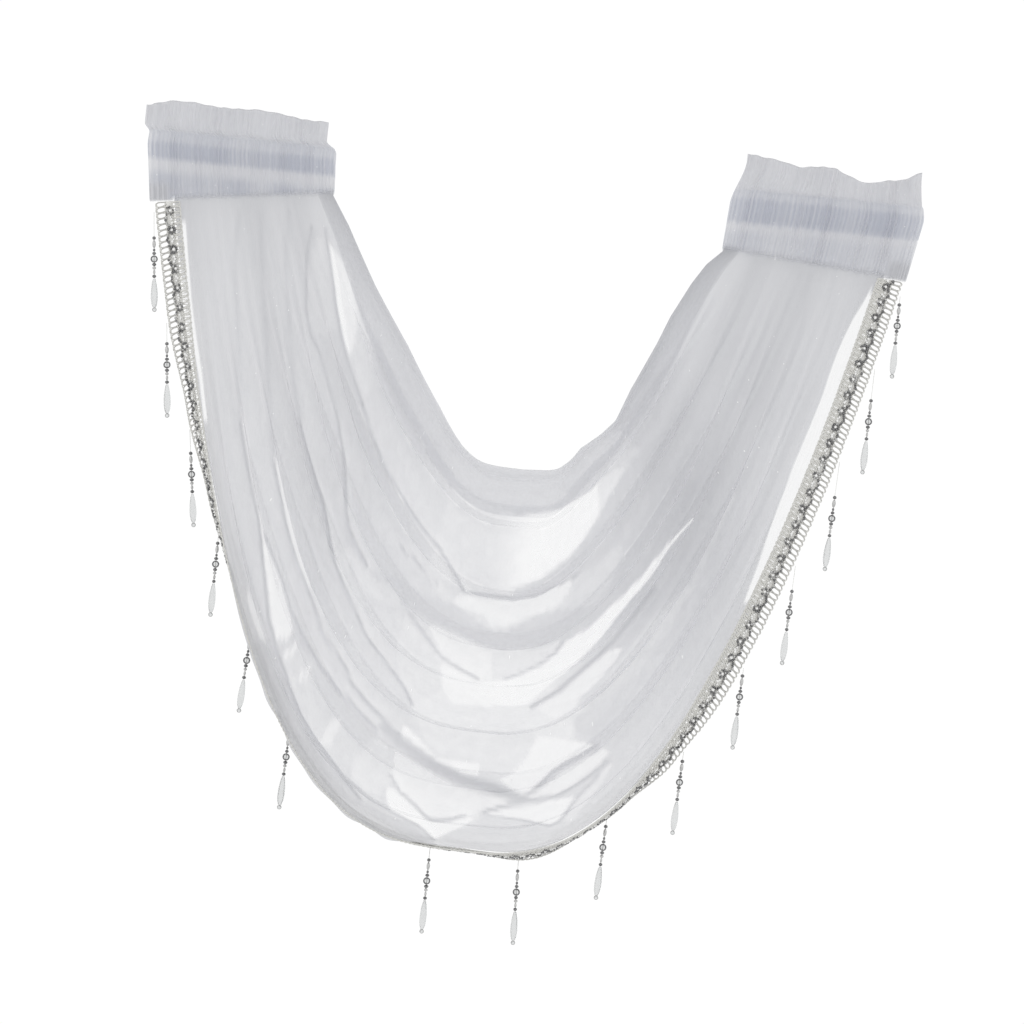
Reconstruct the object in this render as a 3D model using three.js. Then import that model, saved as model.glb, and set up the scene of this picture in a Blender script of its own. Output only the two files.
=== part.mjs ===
// Sheer swag valance. One voile cloth hangs in a deep curve between two shirred rod-pocket
// headings. Its long lower edge carries a looped braid, a zigzag row of beads and a set of
// bead pendants. Sizes are in millimetres. X runs along the rod, -Y is the front and +Z is up.
// The origin is on the rod's axis, midway between the two headings.

import * as THREE from "three";

// Cloth and sewing
const CLOTH_THICKNESS = 1.6;
const SEWN_GAP = 0.3;
const SEAM_GAP = 0.5;
const CLOTH_STEPS_ALONG = 36;
const STEPS_PER_FOLD = 4;

// How far the lower folds stand forward of the rod at the middle of the swag
const FORWARD_LEAN = 22;
// Share of each arm, counted from the middle, past which the folds close up into the gathers
const GATHER_START = 0.72;
const GATHERED_DEPTH = 0.2;
// Share of each arm over which the folds change from the middle's lap to the arm's own
const LAP_CHANGE = 0.5;
// Share of each arm over which the lips stop hanging over and the cloth runs on flat
const LAP_FADE = { start: 0.45, end: 0.9 };
// How much closer the steps along the cloth lie at the middle than on the arms
const MIDDLE_CROWDING = { inner: 0.6, outer: 1.2 };
// Where the lowest point of the cloth lies along the rod, at the hem and at the braid
const LOW_POINT_X = { inner: 16, outer: 6 };
const BEND_SOFTNESS = 0.08;
// Step along the cloth, and in from its two edges, over which its direction is measured
const SLOPE_STEP = 0.01;
// A sharp lip keeps the cloth's thickness by a longer shift of its walls, up to one over this
const MITRE_LIMIT = 0.5;

// The folds of the cloth, a row for each lip from the hemmed inner edge to the braided edge.
// drop: fall below the rod at the middle. left, right: place along each heading's seam, from
// its inner end. flatLeft, flatRight: share of each half span that hangs level. bendLeft,
// bendRight: how round the curve is on each arm. depth: how far the lip stands forward.
// lapLeft, lapMiddle, lapRight: how far the lip hangs over the cloth below it on the arms and
// at the middle, as a share of the distance to the next lip.
const FOLDS = [
  { drop: 285, left: 0.0, right: 0.0, flatLeft: 0.2, flatRight: 0.32, bendLeft: 1.25, bendRight: 0.95,
    depth: 4, lapLeft: 0.0, lapMiddle: 0.0, lapRight: 0.0 },
  { drop: 323, left: 0.1, right: 0.1, flatLeft: 0.12, flatRight: 0.2, bendLeft: 1.5, bendRight: 1.2,
    depth: 9, lapLeft: 0.3, lapMiddle: 0.22, lapRight: 0.3 },
  { drop: 400, left: 0.22, right: 0.22, flatLeft: 0.05, flatRight: 0.08, bendLeft: 1.8, bendRight: 1.5,
    depth: 13, lapLeft: 0.38, lapMiddle: 0.24, lapRight: 0.3 },
  { drop: 445, left: 0.34, right: 0.35, flatLeft: 0.0, flatRight: 0.0, bendLeft: 2.15, bendRight: 1.95,
    depth: 15, lapLeft: 0.4, lapMiddle: 0.42, lapRight: 0.42 },
  { drop: 490, left: 0.47, right: 0.48, flatLeft: 0.0, flatRight: 0.0, bendLeft: 2.4, bendRight: 2.05,
    depth: 14, lapLeft: 0.38, lapMiddle: 0.2, lapRight: 0.4 },
  { drop: 538, left: 0.6, right: 0.62, flatLeft: 0.0, flatRight: 0.0, bendLeft: 2.5, bendRight: 2.1,
    depth: 14, lapLeft: 0.4, lapMiddle: 0.12, lapRight: 0.36 },
  { drop: 584, left: 0.74, right: 0.76, flatLeft: 0.0, flatRight: 0.0, bendLeft: 2.65, bendRight: 2.15,
    depth: 15, lapLeft: 0.42, lapMiddle: 0.4, lapRight: 0.3 },
  { drop: 631, left: 0.88, right: 0.89, flatLeft: 0.0, flatRight: 0.0, bendLeft: 2.8, bendRight: 2.25,
    depth: 10, lapLeft: 0.36, lapMiddle: 0.24, lapRight: 0.2 },
  { drop: 665, left: 1.0, right: 1.0, flatLeft: 0.0, flatRight: 0.0, bendLeft: 2.85, bendRight: 2.33,
    depth: 4, lapLeft: 0.0, lapMiddle: 0.0, lapRight: 0.0 },
];
const LAST_FOLD = FOLDS.length - 1;

// The two headings, each with its left and right end. frillX, rodX, seamX: where that end lies
// at the top of the frill, at the rod and at the lower seam. seamDrop: fall of the lower seam
// below the rod. frillHeights: the uneven top of the frill, from left to right. clothInnerX,
// clothOuterX: the stretch of the lower seam that the cloth is gathered into.
const HEADINGS = {
  left: {
    ends: [
      { frillX: -394, rodX: -387, seamX: -381, seamDrop: 56 },
      { frillX: -211, rodX: -201, seamX: -198, seamDrop: 31 },
    ],
    frillHeights: [40, 46, 47, 45, 45, 46, 44, 41, 41],
    clothInnerX: -199,
    clothOuterX: -353,
  },
  right: {
    ends: [
      { frillX: 209, rodX: 197, seamX: 193, seamDrop: 47 },
      { frillX: 385, rodX: 389, seamX: 379, seamDrop: 60 },
    ],
    frillHeights: [52, 50, 48, 44, 46, 46, 39, 35, 39, 42, 51],
    clothInnerX: 194,
    clothOuterX: 353,
  },
};
const GATHERS = 11;
const STEPS_PER_GATHER = 4;
// How far, and how often along a heading, the gathers stray from an even pitch
const GATHER_STRAY = 0.22;
const GATHER_STRAYS = 2.3;
// Where the gathers of the front and back wall stand, as a share of a gather
const FRONT_LAG = 0;
const BACK_LAG = 0.4;
const POCKET_STITCH_Z = 17;
const POCKET_BOTTOM_Z = -13;
const POCKET_FOOT = 5;

// Braid: a cord-edged strip with a row of open loops along its outer side
const BRAID_WIDTH = 24;
const BRAID_THICKNESS = 2;
const BRAID_LOOPS = 160;
const LOOP_INNER = 13.5;
const LOOP_OUTER = 22;
const LOOP_START = 0.2;
const LOOP_END = 0.8;
// Share of the braid's length over which its cut end turns from the seam to its own run
const BRAID_END_TURN = 0.035;
// How far the braid is turned back out of the front plane along the edge, from left to right
const BRAID_TURN = [
  { at: 0.0, degrees: 6 },
  { at: 0.06, degrees: 16 },
  { at: 0.12, degrees: 48 },
  { at: 0.17, degrees: 68 },
  { at: 0.23, degrees: 90 },
  { at: 0.3, degrees: 98 },
  { at: 0.43, degrees: 98 },
  { at: 0.49, degrees: 86 },
  { at: 0.54, degrees: 62 },
  { at: 0.58, degrees: 76 },
  { at: 0.62, degrees: 70 },
  { at: 0.66, degrees: 44 },
  { at: 0.72, degrees: 14 },
  { at: 0.8, degrees: 4 },
  { at: 1.0, degrees: 0 },
];

// Row of beads that zigzags along the middle of the braid
const BEAD_ROW_MIDDLE = 9.5;
const BEAD_ROW_SWING = 2;
const BEAD_HALF_WIDTH = [1.2, 1.8];
const BEAD_HEIGHT = 2.4;

// Pendants, from left to right: place along the edge, length of the bare thread, and how far
// the hanging string leans to the right, in degrees
const PENDANTS = [
  { at: 0.006, thread: 24, lean: 6 },
  { at: 0.07, thread: 19, lean: 6 },
  { at: 0.132, thread: 22, lean: 8 },
  { at: 0.194, thread: 8, lean: 0 },
  { at: 0.256, thread: 6, lean: -3 },
  { at: 0.323, thread: 8, lean: -2 },
  { at: 0.471, thread: 15, lean: 0 },
  { at: 0.531, thread: 9, lean: 2 },
  { at: 0.601, thread: 6, lean: -2 },
  { at: 0.668, thread: 8, lean: -2 },
  { at: 0.731, thread: 6, lean: -2 },
  { at: 0.801, thread: 24, lean: -2 },
  { at: 0.872, thread: 34, lean: -2 },
  { at: 0.938, thread: 30, lean: -1 },
  { at: 0.99, thread: 7, lean: 0 },
];
const THREAD_RADIUS = 0.6;
const BEAD_SIDES = 4;
const DROP_SIDES = 6;
// Beads of one pendant, from the thread down
const BEADS = [
  { length: 4, radius: 1.9 },
  { length: 15, radius: 1.2 },
  { length: 8, radius: 3.2 },
  { length: 4, radius: 2.0 },
  { length: 7, radius: 1.1 },
  { length: 4, radius: 1.9 },
];
// Share of a bead's length that its round shoulder takes at each end
const BEAD_SHOULDER = 0.3;
// Outline of the long drop and its end bead: fall below the drop's top, and radius there
const DROP = [
  { fall: 0, radius: 1.1 },
  { fall: 9, radius: 2.6 },
  { fall: 17, radius: 3.2 },
  { fall: 29, radius: 1.1 },
  { fall: 31.2, radius: 2.2 },
  { fall: 33.4, radius: 0 },
];

const MATERIALS = {
  voile: new THREE.MeshStandardMaterial({ color: 0xd9dbdf, roughness: 0.9, metalness: 0 }),
  braid: new THREE.MeshStandardMaterial({ color: 0xd6d3c8, roughness: 0.8, metalness: 0 }),
  bead: new THREE.MeshStandardMaterial({ color: 0x565b63, roughness: 0.3, metalness: 0.8 }),
  drop: new THREE.MeshStandardMaterial({ color: 0xd8dcde, roughness: 0.1, metalness: 0 }),
};

// Small helpers
const mix = THREE.MathUtils.lerp;
const clamp = THREE.MathUtils.clamp;
const easeBetween = THREE.MathUtils.smoothstep;

// A smooth curve through one column of evenly spaced rows
function columnAt(rows, column, at) {
  const first = clamp(Math.floor(at), 0, rows.length - 2);
  const f = at - first;
  const value = (index) => rows[clamp(index, 0, rows.length - 1)][column];
  const [before, start, end, after] = [-1, 0, 1, 2].map((step) => value(first + step));
  const leave = (end - before) / 2;
  const arrive = (after - start) / 2;
  const bend = 2 * (start - end) + leave + arrive;
  const lift = 3 * (end - start) - 2 * leave - arrive;
  return ((bend * f + lift) * f + leave) * f + start;
}

// The braid's turn at one place along the edge, eased between the rows of its table
function turnAt(share) {
  const next = clamp(BRAID_TURN.findIndex((row) => row.at >= share), 1, BRAID_TURN.length - 1);
  const [from, to] = [BRAID_TURN[next - 1], BRAID_TURN[next]];
  const eased = easeBetween(share, from.at, to.at);
  return THREE.MathUtils.degToRad(mix(from.degrees, to.degrees, eased));
}

function listAt(values, share) {
  const place = clamp(share, 0, 1) * (values.length - 1);
  const first = Math.min(Math.floor(place), values.length - 2);
  return mix(values[first], values[first + 1], place - first);
}

// The same triangles, facing the other way
function flipped(triangles) {
  return triangles.map(([a, b, c]) => [a, c, b]);
}

// A closed mesh from points and triangles, wound so that its faces point out
function solid(name, material, points, triangles) {
  let volume = 0;
  for (const [a, b, c] of triangles) {
    volume += points[a].dot(points[b].clone().cross(points[c]));
  }
  const wound = volume > 0 ? triangles : flipped(triangles);
  const geometry = new THREE.BufferGeometry().setFromPoints(points);
  geometry.setIndex(wound.flat());
  geometry.computeVertexNormals();
  const mesh = new THREE.Mesh(geometry, material);
  mesh.name = name;
  return mesh;
}

// Triangles of the strip between two rows of point numbers
function strip(one, other, closed) {
  const triangles = [];
  const count = closed ? one.length : one.length - 1;
  for (let i = 0; i < count; i += 1) {
    const next = (i + 1) % one.length;
    triangles.push([one[i], one[next], other[next]], [one[i], other[next], other[i]]);
  }
  return triangles;
}

// The fall of a heading's lower seam below the rod at one place along it
function seamDropAt(heading, x) {
  const [start, end] = heading.ends;
  return mix(start.seamDrop, end.seamDrop, (x - start.seamX) / (end.seamX - start.seamX));
}

// One point of the hanging cloth before it is folded. along runs from -1 at the left heading
// over 0 at the middle to 1 at the right heading, and line is the number of a fold line.
function hangingPoint(along, line) {
  const side = along < 0 ? "left" : "right";
  const heading = HEADINGS[side];
  const across = line / LAST_FOLD;
  const anchorX = mix(heading.clothInnerX, heading.clothOuterX, columnAt(FOLDS, side, line));
  const anchorDrop = seamDropAt(heading, anchorX) + SEAM_GAP;
  const middleX = mix(LOW_POINT_X.inner, LOW_POINT_X.outer, across);
  const crowding = mix(MIDDLE_CROWDING.inner, MIDDLE_CROWDING.outer, across);
  const reach = Math.abs(along);
  const t = (reach * (1 + crowding)) / (1 + crowding * reach);

  const flat = columnAt(FOLDS, side === "left" ? "flatLeft" : "flatRight", line);
  const bent = (place) => place - flat + Math.hypot(place - flat, BEND_SOFTNESS);
  const ramp = Math.max(0, (bent(t) - bent(0)) / (bent(1) - bent(0)));
  const bend = columnAt(FOLDS, side === "left" ? "bendLeft" : "bendRight", line);
  const lowest = columnAt(FOLDS, "drop", line);
  const x = mix(middleX, anchorX, t);
  const y = -FORWARD_LEAN * across * (1 - reach * reach);
  const z = -mix(lowest, anchorDrop, ramp ** bend);
  return new THREE.Vector3(x, y, z);
}

// One point of the folded cloth. Each fold's lip stands forward and hangs over the cloth below.
function clothPoint(along, line) {
  const reach = Math.abs(along);
  const opened = 1 - easeBetween(reach, GATHER_START, 1);
  const arm = easeBetween(reach, 0, LAP_CHANGE);
  const armLap = columnAt(FOLDS, along < 0 ? "lapLeft" : "lapRight", line);
  const hung = 1 - easeBetween(reach, LAP_FADE.start, LAP_FADE.end);
  const lap = mix(columnAt(FOLDS, "lapMiddle", line), armLap, arm) * hung;
  const lip = Math.cos(2 * Math.PI * line);
  const point = hangingPoint(along, clamp(line + lap * lip, 0, LAST_FOLD));
  const depth = columnAt(FOLDS, "depth", line) * mix(GATHERED_DEPTH, 1, opened);
  point.y -= depth * lip;
  return point;
}

// The shift from the middle of the cloth to its front wall, square to the cloth on both sides of a lip
function clothShift(along, line) {
  const step = line % LAST_FOLD ? 1 / STEPS_PER_FOLD : SLOPE_STEP;
  const here = clothPoint(along, line);
  const ahead = clothPoint(Math.min(along + SLOPE_STEP, 1), line);
  const behind = clothPoint(Math.max(along - SLOPE_STEP, -1), line);
  const run = ahead.sub(behind);
  const above = here.clone().sub(clothPoint(along, Math.max(line - step, 0)));
  const below = clothPoint(along, Math.min(line + step, LAST_FOLD)).sub(here);
  const sides = [above, below].map((way) => way.cross(run).normalize());
  const shift = sides[0].clone().add(sides[1]).normalize();
  const square = Math.max(shift.dot(sides[0]), shift.dot(sides[1]), MITRE_LIMIT);
  return shift.multiplyScalar(CLOTH_THICKNESS / 2 / square);
}

function makePanel() {
  const columns = LAST_FOLD * STEPS_PER_FOLD;
  const points = [];
  const faces = [1, -1].map((side) => {
    const rows = [];
    for (let i = 0; i <= CLOTH_STEPS_ALONG; i += 1) {
      const along = -1 + (2 * i) / CLOTH_STEPS_ALONG;
      const row = [];
      for (let j = 0; j <= columns; j += 1) {
        const line = j / STEPS_PER_FOLD;
        const wall = clothPoint(along, line).addScaledVector(clothShift(along, line), side);
        row.push(points.push(wall) - 1);
      }
      rows.push(row);
    }
    return rows;
  });
  const [front, back] = faces;
  const triangles = [];
  for (let i = 0; i < CLOTH_STEPS_ALONG; i += 1) {
    triangles.push(...strip(front[i], front[i + 1], false));
    triangles.push(...flipped(strip(back[i], back[i + 1], false)));
  }
  const rim = (rows) => [
    ...rows[0],
    ...rows.slice(1, -1).map((row) => row[columns]),
    ...rows[CLOTH_STEPS_ALONG].slice().reverse(),
    ...rows.slice(1, -1).map((row) => row[0]).reverse(),
  ];
  triangles.push(...strip(rim(back), rim(front), true));
  return solid("panel", MATERIALS.voile, points, triangles);
}

// The section of a heading across the rod, from the frill's top to the lower seam. z and half
// are the height and half depth outside, pocketZ and pocketHalf the same inside the pocket.
// sway and swell are how far the gathers shift the sheet or puff out the pocket's wall.
function headingSection(frillHeight, seamDrop) {
  const taperZ = mix(POCKET_BOTTOM_Z, -seamDrop, 0.5);
  return [
    { z: frillHeight, half: 1.4, pocketZ: 14.8, pocketHalf: 0.8, sway: 3.4, swell: 0 },
    { z: POCKET_STITCH_Z, half: 1.8, pocketZ: 14.2, pocketHalf: 4, sway: 0.8, swell: 0 },
    { z: 13.6, half: 10.5, pocketZ: 11.5, pocketHalf: 9.8, sway: 0, swell: 0.5 },
    { z: 5, half: 16.4, pocketZ: 4.6, pocketHalf: 14.4, sway: 0, swell: 0.9 },
    { z: -6, half: 16.4, pocketZ: -6, pocketHalf: 14.4, sway: 0, swell: 0.9 },
    { z: POCKET_BOTTOM_Z, half: 13.4, pocketZ: POCKET_BOTTOM_Z, pocketHalf: 11.4, sway: 0, swell: 0.9 },
    { z: taperZ, half: 7.6, pocketZ: taperZ, pocketHalf: 5.6, sway: 0, swell: 0.9 },
    { z: -seamDrop, half: 2, pocketZ: -seamDrop + POCKET_FOOT, pocketHalf: 0.9, sway: 0.6, swell: 0 },
  ];
}

// Rise and fall of the gathers along a heading, with an uneven pitch
function gatherWave(share, lag) {
  const stray = GATHER_STRAY * Math.sin(2 * Math.PI * (GATHER_STRAYS * share + lag));
  return Math.sin(2 * Math.PI * (GATHERS * share + stray + lag));
}

function makeHeading(name, heading) {
  const steps = GATHERS * STEPS_PER_GATHER;
  const [start, end] = heading.ends;
  const points = [];

  // One ring of point numbers round the outside or round the pocket, front down and back up
  function ring(share, inside) {
    const frillHeight = listAt(heading.frillHeights, share);
    const seamDrop = mix(start.seamDrop, end.seamDrop, share);
    const rows = headingSection(frillHeight, seamDrop);
    const place = (row, sign, lag) => {
      const z = inside ? row.pocketZ : row.z;
      const lean = z > 0 ? z / frillHeight : z / seamDrop;
      const key = z > 0 ? "frillX" : "seamX";
      const endX = (side) => mix(side.rodX, side[key], Math.abs(lean));
      const x = mix(endX(start), endX(end), share);
      const half = inside ? row.pocketHalf : row.half + row.swell * gatherWave(share, lag);
      const sway = inside ? 0 : row.sway * gatherWave(share, FRONT_LAG);
      return points.push(new THREE.Vector3(x, sign * half + sway, z)) - 1;
    };
    const front = rows.map((row) => place(row, -1, FRONT_LAG));
    const back = rows.map((row) => place(row, 1, BACK_LAG)).reverse();
    return [...front, ...back];
  }

  const triangles = [];
  const outside = [];
  for (let i = 0; i <= steps; i += 1) {
    outside.push(ring(i / steps, false));
  }
  for (let i = 0; i < steps; i += 1) {
    triangles.push(...strip(outside[i], outside[i + 1], true));
  }
  const [pocketStart, pocketEnd] = [ring(0, true), ring(1, true)];
  triangles.push(...strip(pocketEnd, pocketStart, true));
  triangles.push(...strip(pocketStart, outside[0], true));
  triangles.push(...strip(outside[steps], pocketEnd, true));
  return solid(name, MATERIALS.voile, points, triangles);
}

// The braid's frame at one place along the edge: where it starts, the way across it and its front
function braidFrame(share) {
  const along = mix(-1, 1, share);
  const edge = clothPoint(along, LAST_FOLD);
  const ahead = clothPoint(Math.min(along + SLOPE_STEP, 1), LAST_FOLD);
  const behind = clothPoint(Math.max(along - SLOPE_STEP, -1), LAST_FOLD);
  const run = ahead.sub(behind).normalize();
  const outward = new THREE.Vector3(run.z, 0, -run.x).normalize();

  // At its cut ends the braid lies along the lower seam of the heading
  const heading = share < 0.5 ? HEADINGS.left : HEADINGS.right;
  const [start, end] = heading.ends;
  const seamRun = new THREE.Vector3(end.seamX - start.seamX, 0, start.seamDrop - end.seamDrop);
  seamRun.multiplyScalar(share < 0.5 ? -1 : 1).normalize();
  const fromEnd = Math.min(share, 1 - share);
  outward.lerp(seamRun, 1 - easeBetween(fromEnd, 0, BRAID_END_TURN)).normalize();

  const turn = turnAt(share);
  const rear = new THREE.Vector3().crossVectors(run, outward).normalize();
  if (rear.y < 0) {
    rear.negate();
  }
  const across = outward.clone().multiplyScalar(Math.cos(turn));
  across.addScaledVector(rear, Math.sin(turn)).normalize();
  const front = outward.clone().multiplyScalar(Math.sin(turn));
  front.addScaledVector(rear, -Math.cos(turn)).normalize();

  // The cloth's thick edge keeps its distance from the braid, also where the braid is folded under
  const half = BRAID_THICKNESS / 2;
  const folded = Math.max(0, -Math.cos(turn));
  const clearance = folded
    ? (SEWN_GAP + half + (CLOTH_THICKNESS / 2) * folded) / Math.sin(turn)
    : SEWN_GAP + half * Math.sin(turn);
  const origin = edge.addScaledVector(outward, clearance);

  // A pendant's thread starts just past the braid's outer edge, and behind it where it is folded
  const hang = (folded ? rear : across).clone();
  hang.multiplyScalar(SEWN_GAP + THREAD_RADIUS + half * folded);
  return { origin, across, front, hang };
}

// A point on the braid: place along it, distance across it and height in front of its middle
function braidPoint(share, distance, height) {
  const frame = braidFrame(share);
  return frame.origin.addScaledVector(frame.across, distance).addScaledVector(frame.front, height);
}

function makeBraid() {
  const points = [];
  const halves = [BRAID_THICKNESS / 2, -BRAID_THICKNESS / 2];
  const add = (share, distance) =>
    halves.map((height) => points.push(braidPoint(share, distance, height)) - 1);
  const edges = [];
  for (let k = 0; k <= BRAID_LOOPS; k += 1) {
    edges.push([add(k / BRAID_LOOPS, 0), add(k / BRAID_LOOPS, BRAID_WIDTH)]);
  }
  const triangles = [];
  const [FRONT, BACK] = [0, 1];
  for (let k = 0; k < BRAID_LOOPS; k += 1) {
    const from = (k + LOOP_START) / BRAID_LOOPS;
    const to = (k + LOOP_END) / BRAID_LOOPS;
    const outline = [edges[k][0], edges[k + 1][0], edges[k + 1][1], edges[k][1]];
    const hole = [
      add(from, LOOP_INNER),
      add(to, LOOP_INNER),
      add(to, LOOP_OUTER),
      add(from, LOOP_OUTER),
    ];
    const faceOf = (corners, face) => corners.map((corner) => corner[face]);
    triangles.push(...strip(faceOf(outline, FRONT), faceOf(hole, FRONT), true));
    triangles.push(...strip(faceOf(hole, BACK), faceOf(outline, BACK), true));
    triangles.push(...strip(faceOf(hole, FRONT), faceOf(hole, BACK), true));
    triangles.push(...strip(faceOf(outline.slice(0, 2), BACK), faceOf(outline.slice(0, 2), FRONT), false));
    triangles.push(...strip(faceOf(outline.slice(2, 4), BACK), faceOf(outline.slice(2, 4), FRONT), false));
  }
  const cap = (corners, flip) => {
    const [[a, b], [c, d]] = corners;
    const pair = [[a, b, d], [a, d, c]];
    return flip ? flipped(pair) : pair;
  };
  triangles.push(...cap(edges[0], true), ...cap(edges[BRAID_LOOPS], false));
  return solid("braid", MATERIALS.braid, points, triangles);
}

function makeBeadRow() {
  const points = [];
  const rings = [];
  for (let k = 0; k < BRAID_LOOPS; k += 1) {
    const share = (k + 0.5) / BRAID_LOOPS;
    const middle = BEAD_ROW_MIDDLE + (k % 2 ? BEAD_ROW_SWING : -BEAD_ROW_SWING);
    const half = BEAD_HALF_WIDTH[k % BEAD_HALF_WIDTH.length];
    const seat = BRAID_THICKNESS / 2 + SEWN_GAP;
    const corners = [[-half, seat], [half, seat], [half, seat + BEAD_HEIGHT], [-half, seat + BEAD_HEIGHT]];
    rings.push(corners.map(([aside, height]) =>
      points.push(braidPoint(share, middle + aside, height)) - 1));
  }
  const triangles = [];
  for (let k = 0; k + 1 < rings.length; k += 1) {
    triangles.push(...strip(rings[k], rings[k + 1], true));
  }
  const [a, b, c, d] = rings[0];
  const [e, f, g, h] = rings[rings.length - 1];
  triangles.push([a, c, b], [a, d, c], [e, f, g], [e, g, h]);
  return solid("bead_row", MATERIALS.bead, points, triangles);
}

// A turned solid that hangs from its top along -Z
function turned(name, material, profile, sides) {
  const outline = profile.map(([radius, fall]) => new THREE.Vector2(radius, -fall));
  const geometry = new THREE.LatheGeometry(outline.reverse(), sides);
  geometry.rotateX(Math.PI / 2);
  const mesh = new THREE.Mesh(geometry, material);
  mesh.name = name;
  return mesh;
}

// Bare thread, then the beads strung on it
function stringProfile(thread) {
  const profile = [[0, 0], [THREAD_RADIUS, 0], [THREAD_RADIUS, thread]];
  let fall = thread;
  for (const { length, radius } of BEADS) {
    const shoulder = length * BEAD_SHOULDER;
    profile.push([radius, fall + shoulder], [radius, fall + length - shoulder]);
    fall += length;
    profile.push([THREAD_RADIUS, fall]);
  }
  profile.push([0, fall]);
  return { profile, fall };
}

function makePendant(number, { at, thread, lean }) {
  const pendant = new THREE.Group();
  pendant.position.copy(braidPoint(at, BRAID_WIDTH, 0)).add(braidFrame(at).hang);
  pendant.rotation.y = -THREE.MathUtils.degToRad(lean);
  const label = `pendant_${String(number).padStart(2, "0")}`;
  const { profile, fall } = stringProfile(thread);
  pendant.add(turned(`${label}_beads`, MATERIALS.bead, profile, BEAD_SIDES));
  const dropProfile = [[0, 0], ...DROP.map((row) => [row.radius, row.fall])];
  const drop = turned(`${label}_drop`, MATERIALS.drop, dropProfile, DROP_SIDES);
  drop.position.z = -(fall + SEWN_GAP);
  pendant.add(drop);
  return pendant;
}

const group = new THREE.Group();
group.add(makePanel());
group.add(makeHeading("heading_left", HEADINGS.left));
group.add(makeHeading("heading_right", HEADINGS.right));
group.add(makeBraid());
group.add(makeBeadRow());
PENDANTS.forEach((row, index) => group.add(makePendant(index + 1, row)));

export default group;
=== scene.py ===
# Looks of a sheer swag valance: voile sheets on the folds of the solids, a looped braid, a row of beads
# and glass pendants. Tables are in millimetres, X along the rod, -Y the front and +Z up.

import math

import bpy
import numpy as np
from mathutils import Matrix, Vector


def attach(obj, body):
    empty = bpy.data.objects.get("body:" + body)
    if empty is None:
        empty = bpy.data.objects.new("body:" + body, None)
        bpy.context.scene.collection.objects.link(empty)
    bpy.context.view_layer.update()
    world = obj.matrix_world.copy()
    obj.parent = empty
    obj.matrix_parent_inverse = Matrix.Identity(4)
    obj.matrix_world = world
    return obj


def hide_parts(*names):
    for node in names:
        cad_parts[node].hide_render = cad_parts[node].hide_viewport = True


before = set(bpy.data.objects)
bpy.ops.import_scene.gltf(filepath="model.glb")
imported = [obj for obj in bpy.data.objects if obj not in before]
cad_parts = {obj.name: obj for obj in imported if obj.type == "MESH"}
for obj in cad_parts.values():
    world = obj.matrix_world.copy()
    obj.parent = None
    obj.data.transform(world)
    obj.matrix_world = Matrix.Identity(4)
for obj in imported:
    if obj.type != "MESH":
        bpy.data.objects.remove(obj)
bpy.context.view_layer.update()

MM = 0.001
BODY = "root"
# Stands in for a zero that would be divided by
TINY = 1e-9
SEED = 58
rng = np.random.default_rng(SEED)

# Folds of the cloth, a value for each lip from the hemmed inner edge to the braided edge. drop: fall below
# the rod at the middle. left, right: place along each heading's seam. flat, bend: how the lip's curve runs on
# each arm. depth: how far the lip stands forward. lap: how far it hangs over the cloth below.
FOLDS = {
    "drop": [285, 323, 400, 445, 490, 538, 584, 631, 665],
    "left": [0, 0.1, 0.22, 0.34, 0.47, 0.6, 0.74, 0.88, 1],
    "right": [0, 0.1, 0.22, 0.35, 0.48, 0.62, 0.76, 0.89, 1],
    "flat_left": [0.2, 0.12, 0.05, 0, 0, 0, 0, 0, 0],
    "flat_right": [0.32, 0.2, 0.08, 0, 0, 0, 0, 0, 0],
    "bend_left": [1.25, 1.5, 1.8, 2.15, 2.4, 2.5, 2.65, 2.8, 2.85],
    "bend_right": [0.95, 1.2, 1.5, 1.95, 2.05, 2.1, 2.15, 2.25, 2.33],
    "depth": [4, 9, 13, 15, 14, 14, 15, 10, 4],
    "lap_left": [0, 0.3, 0.38, 0.4, 0.38, 0.4, 0.42, 0.36, 0],
    "lap_middle": [0, 0.22, 0.24, 0.42, 0.2, 0.12, 0.4, 0.24, 0],
    "lap_right": [0, 0.3, 0.3, 0.42, 0.4, 0.36, 0.3, 0.2, 0],
}
LAST_FOLD = len(FOLDS["drop"]) - 1
# Gaps below the headings and between sewn pieces, and the cloth's thickness, as in the solids
SEAM_GAP = 0.5
SEWN_GAP = 0.3
CLOTH_THICKNESS = 1.6
# How far the middle of the braided edge hangs forward, and how the folds flatten near the headings
FORWARD_LEAN = 22
GATHER_START = 0.72
GATHERED_DEPTH = 0.2
# Where the laps of the middle give way to those of the arms, and where these fade out
LAP_CHANGE = 0.5
LAP_FADE = (0.45, 0.9)
# How points crowd towards the middle and where the lowest point lies, on the inner and the outer edge
MIDDLE_CROWDING = {"inner": 0.6, "outer": 1.2}
LOW_POINT_X = {"inner": 16, "outer": 6}
BEND_SOFTNESS = 0.08
SLOPE_STEP = 0.01

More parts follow.
